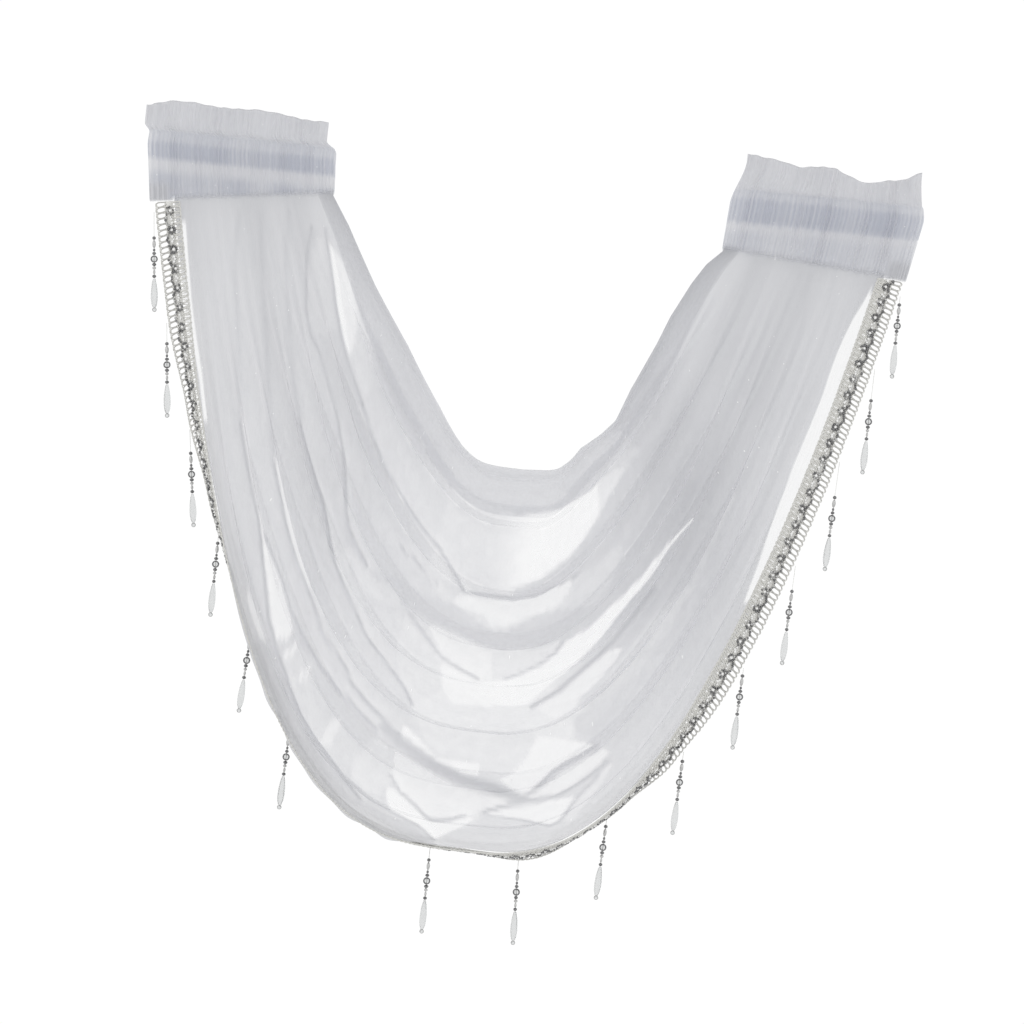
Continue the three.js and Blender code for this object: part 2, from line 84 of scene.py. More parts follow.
# The two headings, with their left and right ends at the frill's top, at the rod and at the lower seam
HEADINGS = {
    "left": {
        "ends": [
            {"frill_x": -394, "rod_x": -387, "seam_x": -381, "seam_drop": 56},
            {"frill_x": -211, "rod_x": -201, "seam_x": -198, "seam_drop": 31},
        ],
        "frill_heights": [40, 46, 47, 45, 45, 46, 44, 41, 41],
        "frill_step": (12, 22),
        "rod_band": (-16, 6),
        "pucker_shade": 0.52,
        "outer_end": 0,
        "cloth_inner_x": -199,
        "cloth_outer_x": -353,
    },
    "right": {
        "ends": [
            {"frill_x": 209, "rod_x": 197, "seam_x": 193, "seam_drop": 47},
            {"frill_x": 385, "rod_x": 389, "seam_x": 379, "seam_drop": 60},
        ],
        "frill_heights": [52, 50, 48, 44, 46, 46, 39, 35, 39, 42, 51],
        "frill_step": (0, 46),
        "rod_band": (-21, 9),
        "pucker_shade": 0.3,
        "outer_end": 1,
        "cloth_inner_x": 194,
        "cloth_outer_x": 353,
    },
}


# Small helpers on arrays

def mix(a, b, share):
    return a + (b - a) * share


def ease(value, low, high):
    t = np.clip((value - low) / (high - low), 0, 1)
    return t * t * (3 - 2 * t)


def unit(vectors):
    return vectors / np.linalg.norm(vectors, axis=-1, keepdims=True)


def curve_through(values, place):
    """A smooth curve through evenly spaced values."""
    values = np.array(values, float)
    last = len(values) - 1
    first = np.clip(np.floor(place), 0, last - 1).astype(int)
    f = place - first
    before, start, end, after = (values[np.clip(first + step, 0, last)] for step in (-1, 0, 1, 2))
    leave = (end - before) / 2
    arrive = (after - start) / 2
    bend = 2 * (start - end) + leave + arrive
    lift = 3 * (end - start) - 2 * leave - arrive
    return ((bend * f + lift) * f + leave) * f + start


def fold_column(column, line):
    return curve_through(FOLDS[column], line)


def wander(count, slowest, fastest):
    """A smooth random curve of about unit height, from a count of slow to fast waves."""
    pace = rng.uniform(slowest, fastest, count)
    phase = rng.uniform(0, 1, count)
    height = rng.normal(0, 1, count) / math.sqrt(count)

    def at(place):
        place = np.asarray(place, float)[..., None]
        return (height * np.sin(2 * np.pi * (pace * place + phase))).sum(-1)

    return at


# Shape of the hanging cloth, as in the solids

def seam_drop_at(heading, x):
    start, end = heading["ends"]
    share = (x - start["seam_x"]) / (end["seam_x"] - start["seam_x"])
    return mix(start["seam_drop"], end["seam_drop"], share)


def hanging_point(along, line):
    """A point of the cloth before it is folded: along from -1 to 1, line from 0 at the hem to the braid."""
    along, line = np.broadcast_arrays(np.asarray(along, float), np.asarray(line, float))
    across = line / LAST_FOLD
    reach = np.abs(along)
    middle_x = mix(LOW_POINT_X["inner"], LOW_POINT_X["outer"], across)
    crowding = mix(MIDDLE_CROWDING["inner"], MIDDLE_CROWDING["outer"], across)
    t = reach * (1 + crowding) / (1 + crowding * reach)
    lowest = fold_column("drop", line)
    x = np.zeros_like(t)
    z = np.zeros_like(t)
    for side, here in (("left", along < 0), ("right", along >= 0)):
        heading = HEADINGS[side]
        anchor_x = mix(heading["cloth_inner_x"], heading["cloth_outer_x"], fold_column(side, line))
        anchor_drop = seam_drop_at(heading, anchor_x) + SEAM_GAP
        flat = fold_column("flat_" + side, line)
        bent = [place - flat + np.hypot(place - flat, BEND_SOFTNESS) for place in (0, t, 1)]
        ramp = np.maximum(0, (bent[1] - bent[0]) / (bent[2] - bent[0]))
        slope = fold_column("bend_" + side, line)
        x = np.where(here, mix(middle_x, anchor_x, t), x)
        z = np.where(here, -mix(lowest, anchor_drop, ramp ** slope), z)
    y = -FORWARD_LEAN * across * (1 - reach**2)
    return np.stack([x, y, z], -1)


def hanging_line(along, line):
    """The fold line that a point hangs at once its lip laps over the cloth below."""
    reach = np.abs(along)
    arm = ease(reach, 0, LAP_CHANGE)
    arm_lap = np.where(along < 0, fold_column("lap_left", line), fold_column("lap_right", line))
    lap = mix(fold_column("lap_middle", line), arm_lap, arm) * (1 - ease(reach, *LAP_FADE))
    return np.clip(line + lap * np.cos(2 * np.pi * line), 0, LAST_FOLD)


def fold_rise(along, line):
    """How far the folds stand forward."""
    opened = 1 - ease(np.abs(along), GATHER_START, 1)
    return fold_column("depth", line) * mix(GATHERED_DEPTH, 1, opened) * np.cos(2 * np.pi * line)


def cloth_point(along, line):
    """A point of the folded cloth."""
    along, line = np.broadcast_arrays(np.asarray(along, float), np.asarray(line, float))
    point = hanging_point(along, hanging_line(along, line))
    point[..., 1] -= fold_rise(along, line)
    return point


# Meshes

class Shape:
    """Gathers points and faces, each face with the number of its material."""

    def __init__(self):
        self.points = []
        self.faces = []
        self.numbers = []
        self.count = 0

    def add(self, points, faces, number=0):
        points = np.asarray(points, float).reshape(-1, 3)
        self.points.append(points)
        self.faces.extend((np.asarray(faces) + self.count).tolist())
        self.numbers.extend([number] * len(faces))
        self.count += len(points)

    def piece(self, name, materials, smooth=True):
        mesh = bpy.data.meshes.new(name)
        mesh.from_pydata((np.concatenate(self.points) * MM).tolist(), [], self.faces)
        for material in materials:
            mesh.materials.append(material)
        mesh.polygons.foreach_set("material_index", self.numbers)
        mesh.polygons.foreach_set("use_smooth", [smooth] * len(self.faces))
        mesh.update()
        made = bpy.data.objects.new(name, mesh)
        bpy.context.scene.collection.objects.link(made)
        return made


def grid_faces(rows, columns, close_rows=False, close_columns=False):
    """Four-sided faces over a grid of points."""
    i = np.arange(rows if close_rows else rows - 1)[:, None]
    j = np.arange(columns if close_columns else columns - 1)[None, :]
    next_i = (i + 1) % rows
    next_j = (j + 1) % columns
    corners = [i * columns + j, next_i * columns + j, next_i * columns + next_j, i * columns + next_j]
    return np.stack(np.broadcast_arrays(*corners), -1).reshape(-1, 4)


def add_attribute(piece, name, values):
    attribute = piece.data.attributes.new(name, "FLOAT", "POINT")
    attribute.data.foreach_set("value", np.asarray(values, np.float32).ravel())


def add_uv(piece, u, v):
    """Lays the sheet out flat, in metres, for the weave."""
    flat = np.stack([np.asarray(u, float).ravel(), np.asarray(v, float).ravel()], -1) * MM
    corners = np.zeros(len(piece.data.loops), int)
    piece.data.loops.foreach_get("vertex_index", corners)
    piece.data.uv_layers.new(name="flat").data.foreach_set("uv", flat[corners].astype(np.float32).ravel())


# Voile panel: a fine sheet with crush wrinkles and creases on the main folds

PANEL_STEPS = 280
COLUMNS_PER_FOLD = 38
ROW_CROWDING = 0.6
FLAT_HALF_LENGTH = 720
FLAT_FOLD = 48
# How much one layer of voile hides
LAYER_ALPHA = 0.25
# The crushed folds of the arms lie flatter than the solid's, but for the edge under the braid
FLATTER = 0.6
FLATTER_REACH = (0.4, 0.75)
FLATTER_FOLDS = (7, 8)
# The hem behind the inner edge: the fold lines where it ends and turns, and how far back it lies
HEM_COLUMNS = 36
HEM_FOLD_LINES = 0.96
HEM_TURN_LINE = 0.02
HEM_SET_BACK = 1.3
# How far the hemmed edge strays sideways from the even curve, for places along the cloth
EDGE_STRAY = (
    [-1, -0.89, -0.68, -0.5, -0.32, -0.2, 0.1, 0.2, 0.27, 0.315, 0.355, 0.445, 0.6, 0.7, 0.84, 0.93, 1],
    [0, 3, 3, 7, 5, 0, 0, -9, -10, 0, 5, 0, -4, -8, -9, -7, 0],
)
EDGE_STRAY_FOLDS = 1.8
# The outer edge runs on under the braid, and along a part of it rolls over the braid: distances across the
# braid and heights over it, and where along it the roll sets in and ends
SEWN_UNDER = [1.5, 3.5]
ROLLED_OVER = [0.4, 3.4]
ROLL_FORWARD = -2.2
ROLL_START = (0.172, 0.228)
ROLL_END = (0.435, 0.472)
ROLL_STRAY = 1.2
ROLL_STRAY_WAVES = (10, 8, 40)
ROLL_LAYERS = 8
# The wrinkles end where the cloth runs up inside the headings: how far up its rows lie, and the share of the
# layers left there. The rows are drawn in towards the rod.
WRINKLES_END = (0.97, 1)
TUCKED = [(9.0, 0.03), (3.5, 0.9)]
TUCKED_DEPTH = 0.3
# Painted shade on the crowded cloth of the arms, deepest at the seams, for places along the cloth, and how
# unevenly it lies
ARM_SHADE = (
    [-1, -0.97, -0.85, -0.62, -0.35, 0.3, 0.5, 0.62, 0.85, 0.97, 1],
    [0.95, 0.78, 0.55, 0.3, 0, 0, 0.26, 0.32, 0.55, 0.76, 0.95],
)
ARM_SHADE_STRAY = 0.1
ARM_SHADE_WAVES = (5, 0.15, 0.6)

# Crush wrinkles that run along the cloth: waves for each fold, height at the middle and at the headings, and
# how far they stray
WRINKLES = [
    {"waves": 1.6, "middle": 0.7, "heading": 0.16, "stray": 0.5},
    {"waves": 3.3, "middle": 0.4, "heading": 0.09, "stray": 0.7},
    {"waves": 5.7, "middle": 0.2, "heading": 0.05, "stray": 0.9},
    {"waves": 8.9, "middle": 0.1, "heading": 0.02, "stray": 1.2},
]
WRINKLE_CHANGE = (0.2, 1)
WRINKLE_WAVES = (5, 0.3, 1.6)
# The wrinkles come in patches: their mean strength and its swing, and how many lie on each fold
PATCH_STRENGTH = 0.55
PATCH_SWING = 0.45
PATCHES_PER_FOLD = 0.83
PATCH_WAVES = (4, 0.4, 1.4)
# Layers of crushed cloth seen over each other in each place, for fold lines from the hem to the braid
FULLNESS_PLACES = [-1, -0.85, -0.55, -0.22, 0, 0.16, 0.32, 0.5, 0.85, 1]
FULLNESS = [
    [10.0, 9.0, 7.0, 6.6, 6.0, 6.0, 6.0, 9.0, 13.0, 14.0],
    [10.0, 9.0, 7.5, 6.6, 6.0, 6.0, 7.0, 10.0, 13.0, 14.0],
    [10.0, 9.0, 7.0, 6.0, 3.1, 4.2, 8.0, 11.0, 13.0, 14.0],
    [10.0, 7.5, 6.2, 5.5, 3.4, 4.2, 8.0, 10.0, 12.0, 14.0],
    [10.0, 6.8, 6.0, 5.3, 3.4, 4.2, 8.0, 10.0, 12.0, 14.0],
    [10.0, 6.8, 6.0, 5.0, 3.4, 4.6, 7.0, 9.0, 12.0, 14.0],
    [10.0, 6.8, 6.0, 5.5, 3.4, 4.8, 6.0, 8.5, 11.0, 14.0],
    [10.0, 7.0, 6.7, 5.8, 3.6, 5.5, 6.5, 8.0, 10.0, 13.0],
    [9.0, 4.8, 6.0, 6.0, 4.8, 5.3, 6.0, 6.0, 7.0, 10.0],
]
# How far the folds that lie over each other share these layers, and how thin a lip's turn looks
SHARED_LAYERS = 0.85
LIP_LAYERS = 0.2
LIP_TURN = (0, 0.4)
# Part of the layers that a wrinkle's streak adds or takes away
STREAK = 0.05

# Places where more or fewer layers lie, outlined as seen from the front: the layers, millimetres to
# the right of and below the view's top left corner, and the softness of the edge
PLACES_SOFT = 1.1
WIDE_SOFT = 9
PLACES = [
    # Single cloth below the hem with a soft shade over its left half, the hem's band, and soft ground
    (1.25, [(455, 486), (478, 500), (498, 508), (520, 514), (540, 512), (560, 508), (576, 499), (590, 490),
           (603, 478), (618, 480), (608, 497), (600, 515), (590, 530), (580, 545), (570, 556), (560, 563),
           (550, 572), (540, 579), (516, 587), (494, 592), (470, 591), (460, 588), (447, 567), (438, 541),
           (442, 525)], 2.2),
    (4.50, [(425, 470), (470, 480), (514, 505), (500, 600), (450, 605), (425, 560)], 26),
    (6.0, [(455, 458), (470, 453), (500, 464), (540, 466), (568, 462), (592, 446), (620, 432), (640, 452),
           (627, 465), (613, 471), (601, 479), (590, 490), (576, 499), (560, 508), (519, 515), (498, 508),
           (480, 499), (459, 485)]),
    (2.75, [(440, 640), (520, 652), (560, 690), (590, 712), (570, 748), (440, 748), (415, 720),
           (420, 680)], WIDE_SOFT),
    # Right of the middle, from the hem down
    (3.12, [(598, 484), (604, 476), (614, 470), (630, 465), (622, 475), (609, 496), (600, 512)], 3),
    (8.0, [(516, 589), (540, 581), (552, 573), (572, 556), (590, 532), (606, 506), (640, 470), (650, 500),
           (632, 535), (610, 550), (590, 566), (574, 577), (560, 583), (535, 594), (511, 599)]),
    (2.00, [(452, 600), (459, 596), (471, 596), (490, 600), (511, 601), (535, 597), (550, 590), (560, 584),
           (568, 578), (573, 580), (568, 592), (560, 603), (545, 610), (530, 617), (508, 625), (492, 627),
           (484, 616), (469, 612)]),
    (4.75, [(567, 608), (571, 600), (580, 590), (590, 575), (600, 560), (614, 548), (625, 545), (620, 560),
           (612, 580), (605, 595), (595, 604), (580, 606)], 2.5),
    (7.0, [(345, 515), (353, 540), (368, 563), (385, 573), (402, 579), (420, 592), (440, 600), (453, 603),
           (470, 615), (486, 627), (496, 632), (510, 628), (530, 619), (548, 612), (562, 609), (590, 608),
           (608, 598), (612, 604), (598, 616), (580, 630), (566, 640), (550, 644), (535, 648), (505, 650),
           (480, 645), (460, 634), (440, 625), (415, 612), (398, 604), (380, 596), (365, 583), (352, 560),
           (342, 535)]),
    (3.00, [(490, 651), (520, 651), (537, 649), (549, 645), (560, 640), (556, 650), (540, 663), (520, 672),
           (490, 680)]),
    (1.25, [(484, 682), (502, 681), (522, 676), (542, 666), (556, 655), (566, 643), (576, 636), (590, 628),
           (602, 615), (616, 602), (630, 588), (641, 576), (652, 562), (660, 553), (668, 543), (680, 530),
           (692, 518), (694, 520), (684, 531), (673, 544), (665, 555), (659, 566), (648, 581), (638, 593),
           (627, 604), (617, 615), (609, 627), (600, 640), (590, 650), (578, 662), (565, 673), (550, 684),
           (538, 694), (526, 705), (484, 706)]),
    (2.00, [(534, 708), (552, 695), (567, 685), (582, 673), (594, 663), (606, 653), (615, 648), (622, 650),
           (617, 659), (608, 669), (600, 680), (590, 690), (580, 699), (572, 710), (555, 720)]),
    (4.75, [(604, 676), (624, 652), (640, 633), (655, 618), (668, 604), (680, 592), (690, 581), (700, 560),
           (709, 546), (720, 522), (734, 492), (737, 496), (724, 522), (713, 545), (704, 566), (694, 586),
           (684, 602), (672, 624), (655, 650), (640, 670), (620, 690), (598, 708), (582, 708),
           (592, 692)], 2.5),
    (6.00, [(600, 708), (625, 690), (650, 664), (672, 640), (664, 668), (640, 706), (624, 744), (612, 760),
           (604, 745), (575, 735), (574, 716)], 4),
    (3.25, [(492, 724), (522, 728), (537, 736), (530, 750), (520, 763), (508, 776), (494, 777), (482, 770)]),
    (1.50, [(537, 736), (556, 738), (580, 742), (597, 745), (588, 751), (574, 757), (560, 767), (548, 778),
           (534, 789), (522, 797), (514, 794), (506, 786), (499, 780), (510, 775), (521, 764), (531, 751)]),
    (1.88, [(530, 797), (545, 787), (560, 773), (576, 764), (590, 756), (605, 748), (609, 752), (600, 764),
           (585, 776), (570, 787), (555, 794), (540, 798)]),
    (2.12, [(478, 795), (500, 797), (514, 801), (504, 805), (491, 809), (474, 812)]),
    (1.56, [(478, 816), (500, 810), (520, 806), (540, 803), (560, 799), (574, 797), (566, 810), (558, 820),
            (550, 825), (540, 824), (520, 820), (500, 817)]),
    (3.38, [(561, 822), (574, 802), (589, 786), (602, 773), (611, 760), (613, 766), (601, 785), (585, 805),
           (570, 821)]),
    (5.25, [(432, 841), (450, 833), (465, 826), (487, 819), (520, 823), (550, 828), (564, 824), (582, 830),
           (560, 839), (530, 846), (500, 850), (450, 850)]),
    # Left of the middle, from the hem down
    (5.75, [(398, 482), (440, 479), (448, 500), (437, 540), (420, 522), (404, 500)], 3),
    (3.50, [(432, 555), (438, 551), (446, 563), (453, 578), (447, 581), (437, 574), (430, 563)]),
    (2.12, [(428, 624), (440, 628), (460, 637), (480, 648), (492, 652), (492, 680), (478, 676), (460, 665),
           (444, 652), (434, 638)]),
    (1.44, [(436, 664), (446, 664), (460, 672), (476, 681), (492, 686), (490, 706), (455, 704),
            (442, 690)], 2.2),
    (3.38, [(396, 640), (406, 618), (416, 626), (428, 645), (440, 662), (442, 690), (420, 700), (408, 690),
           (398, 668)], 2.5),
    (4.50, [(350, 600), (356, 598), (374, 606), (392, 612), (404, 618), (396, 640), (398, 668), (386, 660),
           (370, 636)], 3),
    (4.25, [(336, 562), (340, 546), (350, 549), (362, 566), (374, 578), (396, 592), (402, 606), (386, 604),
           (366, 598), (352, 598)], 2.5),
    (3.00, [(420, 716), (430, 722), (450, 724), (484, 726), (480, 757), (455, 758), (440, 756), (431, 748),
           (422, 734)], 2.5),
    (1.44, [(399, 729), (405, 727), (415, 735), (425, 745), (435, 755), (446, 760), (480, 762), (478, 777),
            (456, 774), (445, 768), (432, 757), (414, 744)]),
    (2.25, [(394, 748), (402, 754), (420, 765), (440, 778), (470, 791), (480, 795), (476, 814), (456, 817),
           (440, 819), (428, 817), (420, 806), (410, 797), (400, 790), (393, 778)]),
    (1.38, [(386, 787), (395, 790), (405, 799), (415, 809), (425, 819), (433, 822), (450, 822), (466, 818),
           (476, 818), (464, 826), (450, 832), (434, 839), (427, 836), (418, 826), (405, 818), (392, 812),
           (386, 800)]),
    (3.50, [(350, 763), (365, 746), (380, 736), (391, 749), (392, 766), (393, 779), (386, 788), (380, 796),
           (365, 790), (352, 776)], 2.5),
    # Outer strip of the left arm, and the lighter cloth beside it
    (8.5, [(246, 640), (262, 640), (276, 648), (283, 668), (290, 690), (300, 715), (315, 740), (330, 760),
           (346, 780), (362, 800), (384, 814), (410, 824), (432, 840), (430, 848), (396, 830), (360, 808),
           (330, 788), (298, 752), (272, 706), (258, 672)]),
    (4.75, [(284, 655), (300, 648), (312, 656), (324, 676), (338, 694), (352, 708), (366, 722), (376, 732),
           (366, 744), (350, 762), (336, 763), (320, 742), (305, 720), (294, 695)], 1.3),
    (4.50, [(338, 652), (350, 640), (364, 650), (380, 668), (396, 690), (404, 706), (400, 726), (386, 720),
           (371, 703), (357, 686)], 1.4),
    (2.00, [(293, 681), (300, 675), (312, 663), (313, 667), (305, 677), (298, 682)]),
    (2.00, [(283, 657), (290, 648), (296, 642), (299, 645), (292, 654), (286, 660)]),
    (2.40, [(318, 742), (325, 733), (333, 718), (342, 717), (340, 728), (332, 742), (325, 748)], 1.3),
    # Slits and wedges of the left arm; the first is a painted highlight beside a crease
    (1.88, [(246, 472), (250, 478), (255, 495), (260, 515), (265, 537), (270, 546), (279, 568), (287, 595),
           (291, 615), (293, 632), (285, 641), (276, 638), (271, 615), (267, 580), (263, 555), (260, 530),
           (254, 505), (249, 488)]),
    (2.50, [(273, 457), (277, 460), (281, 478), (285, 497), (291, 520), (297, 542), (303, 562), (313, 590),
           (309, 590), (300, 568), (292, 543), (286, 518), (280, 490), (275, 470)]),
    (2.75, [(247, 588), (252, 597), (259, 618), (266, 640), (261, 640), (254, 622), (248, 604)]),
    (4.75, [(324, 500), (330, 502), (335, 520), (340, 545), (336, 562), (331, 545), (328, 522)], 2.2),
    (5.6, [(307, 285), (312, 252), (318, 237), (324, 240), (329, 280), (333, 310), (336, 328), (325, 338),
           (312, 331), (307, 318)], 4),
    (5.4, [(341, 300), (352, 289), (364, 306), (373, 328), (377, 350), (370, 388), (361, 402), (353, 385),
           (346, 350)], 5),
    (2.4, [(328, 240), (334, 248), (344, 262), (353, 285), (358, 315), (356, 340), (350, 358), (345, 345),
           (340, 322), (335, 300), (331, 270)], 3.5),
    (1.3, [(328, 241), (333, 250), (338, 272), (342, 300), (346, 325), (350, 352), (347, 350), (341, 325),
           (335, 298), (331, 270)]),
    # Bare strips beside the braid
    (0.9, [(181, 222), (186, 222), (189, 262), (192, 300), (197, 339), (203, 378), (208, 423), (204, 423),
           (199, 380), (192, 339), (187, 300), (184, 262)]),
    (1.0, [(870, 289), (862, 304), (853, 318), (845, 334), (837, 352), (829, 374), (822, 395), (812, 420),
           (802, 444), (792, 468), (785, 488), (777, 508), (771, 524), (765, 542), (758, 564), (750, 584),
           (743, 604), (760, 596), (778, 566), (792, 536), (808, 500), (824, 466), (842, 424), (860, 380),
           (870, 340), (878, 296)]),
    (9.0, [(738, 400), (733, 425), (727, 450), (731, 452), (738, 428), (743, 402)], 2.5),
    (8.0, [(776, 430), (762, 468), (744, 506), (749, 508), (768, 470), (783, 432)], 2.5),
]

# Main creases, drawn in the same way: width, height towards the front, layers that lie in the crease
# Painted shade in the creases, and the layers at which it is at full strength
CREASE_SHADE = 0.4
CREASE_SHADED = 10
# How many widths away a drawn line no longer matters
NEAR_WIDTHS = 3
# Long creases of the left arm, from the braid inwards, with fewer layers on their inner side as painted light
# there
LIT_LAYERS = 0.55
LIT_WIDTH = 6
LONG_CREASES = [
    (1.5, 1.2, 10.0, [(240, 425), (245, 455), (250, 485), (256, 510), (260, 535), (262, 560), (265, 590),
                      (268, 620), (275, 645), (283, 668), (290, 690), (300, 715), (315, 740), (330, 760),
                      (345, 780), (360, 800)]),
    (1.4, 1.0, 8.0, [(265, 535), (272, 555), (282, 580), (290, 610), (300, 630), (310, 648), (322, 668),
                     (335, 686), (350, 702), (362, 716), (378, 729)]),
    (1.5, 1.2, 10.0, [(273, 462), (279, 490), (285, 520), (291, 545), (299, 570), (308, 592), (315, 610),
                      (322, 630), (333, 650), (345, 668), (355, 690), (370, 705), (385, 722), (400, 735)]),
    (1.5, 1.2, 8.0, [(300, 425), (308, 455), (315, 480), (322, 500), (327, 525), (330, 545), (335, 565),
                     (345, 590), (355, 610), (365, 635), (380, 655), (395, 675), (405, 690), (412, 705)]),
    (1.6, 1.2, 8.0, [(338, 425), (344, 460), (346, 515), (353, 541), (366, 565)]),
    (1.5, 1.0, 8.0, [(362, 405), (372, 435), (384, 468), (400, 495), (417, 521), (437, 545), (449, 565),
                     (458, 580), (463, 590)]),
    (1.4, 0.8, 6.0, [(400, 546), (415, 560), (430, 580), (437, 585)]),
    (1.6, 0.8, 6.0, [(408, 612), (418, 625), (430, 642), (442, 658), (458, 668), (478, 679)]),
    (1.3, 0.8, 6.0, [(390, 775), (400, 792), (415, 805), (425, 816), (432, 820), (450, 820), (465, 815)]),
    (1.4, 1.0, 6.0, [(350, 782), (368, 798), (392, 812), (418, 826), (434, 840)]),
]
CREASES = [
    # Thin creases of the middle and of the right arm
    (1.3, 0.8, 10.0, [(460, 590), (470, 593), (487, 595), (512, 598)]),
    (1.3, 0.8, 8.0, [(511, 599), (535, 595), (560, 584), (578, 575)]),
    (1.2, 0.6, 6.0, [(505, 679), (520, 674), (540, 664), (555, 653), (563, 642)]),
    (2.0, 1.0, 12.0, [(532, 707), (560, 690), (580, 672), (600, 655), (615, 640), (628, 624), (642, 606),
                      (655, 588)]),
    (1.8, 1.0, 12.0, [(523, 799), (540, 785), (555, 771), (568, 763), (580, 757), (597, 746)]),
    (1.6, 1.0, 12.0, [(484, 812), (505, 806), (520, 803), (540, 800), (560, 795), (580, 783), (595, 773),
                      (608, 762)]),
    (1.2, 0.6, 7.0, [(480, 816), (505, 818), (530, 822), (550, 826), (560, 822), (570, 808), (580, 795),
                     (600, 775)]),
    (4.6, 1.6, 10.0, [(384, 727), (400, 743), (420, 757), (440, 769), (462, 780), (486, 786), (504, 793),
                      (520, 799)]),
    # Soft pleats below the headings
    (1.5, 1.0, 8.0, [(326, 228), (331, 270), (336, 310), (340, 335), (348, 365), (355, 385), (362, 405)]),
    (1.6, 1.0, 5.0, [(311, 228), (306, 270), (305, 310), (310, 335), (320, 355), (328, 385), (335, 410),
                     (338, 425)]),
    (3.0, 0.5, 2.4, [(240, 214), (234, 262), (236, 312), (238, 362), (240, 425)]),
    (3.0, 0.5, 2.4, [(262, 214), (262, 270), (265, 330), (268, 400), (273, 462)]),
    (3.0, 0.5, 2.4, [(288, 212), (286, 268), (288, 330), (294, 390), (300, 425)]),
    (3.2, 0.4, 1.6, [(812, 268), (800, 330), (778, 400), (752, 470), (722, 530), (690, 585)]),
    (3.2, 0.4, 1.6, [(786, 264), (766, 330), (742, 390), (716, 450), (684, 510)]),
    (3.2, 0.4, 1.6, [(756, 260), (730, 320), (704, 376), (676, 430), (650, 470)]),
    (3.2, 0.4, 1.6, [(836, 272), (826, 330), (806, 400), (780, 470), (752, 530), (716, 592)]),
]


def sheet_wrinkles(along, line):
    """Height of the crush wrinkles, and the share of a streak that lies there."""
    reach = np.abs(along)
    height = np.zeros_like(along)
    streak = np.zeros_like(along)
    for row in WRINKLES:
        stray = wander(*WRINKLE_WAVES)(along) * row["stray"]
        patches = PATCHES_PER_FOLD * line + wander(*PATCH_WAVES)(along)
        patch = PATCH_STRENGTH + PATCH_SWING * np.sin(2 * np.pi * patches)
        phase = 2 * np.pi * (row["waves"] * line + stray + rng.uniform())
        height += mix(row["middle"], row["heading"], ease(reach, *WRINKLE_CHANGE)) * patch * np.sin(phase)
        streak += patch * np.cos(phase) / len(WRINKLES)
    return height, streak


def layers_over(hung):
    """How many folds of the sheet, and of its hem, hang over each other at each of its points."""
    low = np.minimum(hung[:, :-1], hung[:, 1:])[:, None, :]
    high = np.maximum(hung[:, :-1], hung[:, 1:])[:, None, :]
    count = ((hung[..., None] >= low) & (hung[..., None] < high)).sum(-1)
    return np.maximum(count, 1) + (hung < HEM_FOLD_LINES)


def fullness_at(along, hung):
    """Layers of crushed cloth at one place of the hanging cloth."""
    rows = [np.interp(along, FULLNESS_PLACES, row) for row in FULLNESS]
    first = np.clip(np.floor(hung), 0, LAST_FOLD - 1).astype(int)
    stack = np.stack(rows)
    low = np.take_along_axis(stack, first[None], 0)[0]
    high = np.take_along_axis(stack, first[None] + 1, 0)[0]
    return mix(low, high, hung - first)


def seen_from_front(points):
    """Where points lie in the front view, in millimetres from its top left corner."""
    roll = math.radians(CAMERA_ROLL)
    nearer = CAMERA_DISTANCE / (CAMERA_DISTANCE + points[..., 1] * MM)
    x = (points[..., 0] - VIEW_CENTRE[0] / MM) * nearer
    z = (points[..., 2] - VIEW_CENTRE[1] / MM) * nearer
    right = x * math.cos(roll) + z * math.sin(roll)
    up = z * math.cos(roll) - x * math.sin(roll)
    half = FRAME_WIDTH / MM / 2
    return np.stack([half + right, half - up], -1)


def distance_to_line(places, line, closed=False):
    """Distance from each place to a drawn line, and for a closed line whether the place is inside."""
    corners = np.array(line, float)
    nearest = np.full(places.shape[:-1], np.inf)
    inside = np.zeros(places.shape[:-1], bool)
    starts = corners if closed else corners[:-1]
    ends = np.roll(corners, -1, 0) if closed else corners[1:]
    for start, end in zip(starts, ends):
        run = end - start
        offset = places - start
        share = np.clip((offset @ run) / (run @ run), 0, 1)
        nearest = np.minimum(nearest, np.linalg.norm(offset - share[..., None] * run, axis=-1))
        crosses = (start[1] > places[..., 1]) != (end[1] > places[..., 1])
        rise = run[1] or TINY
        inside ^= crosses & (places[..., 0] < start[0] + run[0] * offset[..., 1] / rise)
    return nearest, inside


def near_box(places, line, margin):
    """The places that may lie within a margin of a drawn line."""
    low = np.min(line, 0) - margin
    high = np.max(line, 0) + margin
    return ((places > low) & (places < high)).all(-1)


def add_places(fullness, places):
    """Sets the layers inside each outline."""
    for layers, outline, *soft in PLACES:
        edge = soft[0] if soft else PLACES_SOFT
        near = near_box(places, outline, NEAR_WIDTHS * edge)
        distance, inside = distance_to_line(places[near], outline, closed=True)
        share = ease(np.where(inside, distance, -distance), -edge, edge)
        fullness[near] = mix(fullness[near], layers, share)


def add_lit_sides(fullness, places):
    """Thins the layers on the inner side of the long creases: painted light on their lit side."""
    for _, _, _, line in LONG_CREASES:
        near = near_box(places, line, NEAR_WIDTHS * LIT_WIDTH)
        x, y = np.array(line, float).T
        place_x, place_y = places[near].T
        inner = place_x > np.interp(place_y, y, x)
        distance, _ = distance_to_line(places[near], line)
        fullness[near] *= 1 - LIT_LAYERS * inner * np.exp(-distance / LIT_WIDTH)


def add_creases(fullness, height, shade, places):
    """Raises each crease, and adds its layers and its shade."""
    for width, rise, layers, line in LONG_CREASES + CREASES:
        near = near_box(places, line, NEAR_WIDTHS * width)
        distance, _ = distance_to_line(places[near], line)
        share = np.exp(-((distance / width) ** 2))
        height[near] += rise * share
        fullness[near] += layers * share
        shade[near] = np.maximum(shade[near], CREASE_SHADE * min(1, layers / CREASE_SHADED) * share)


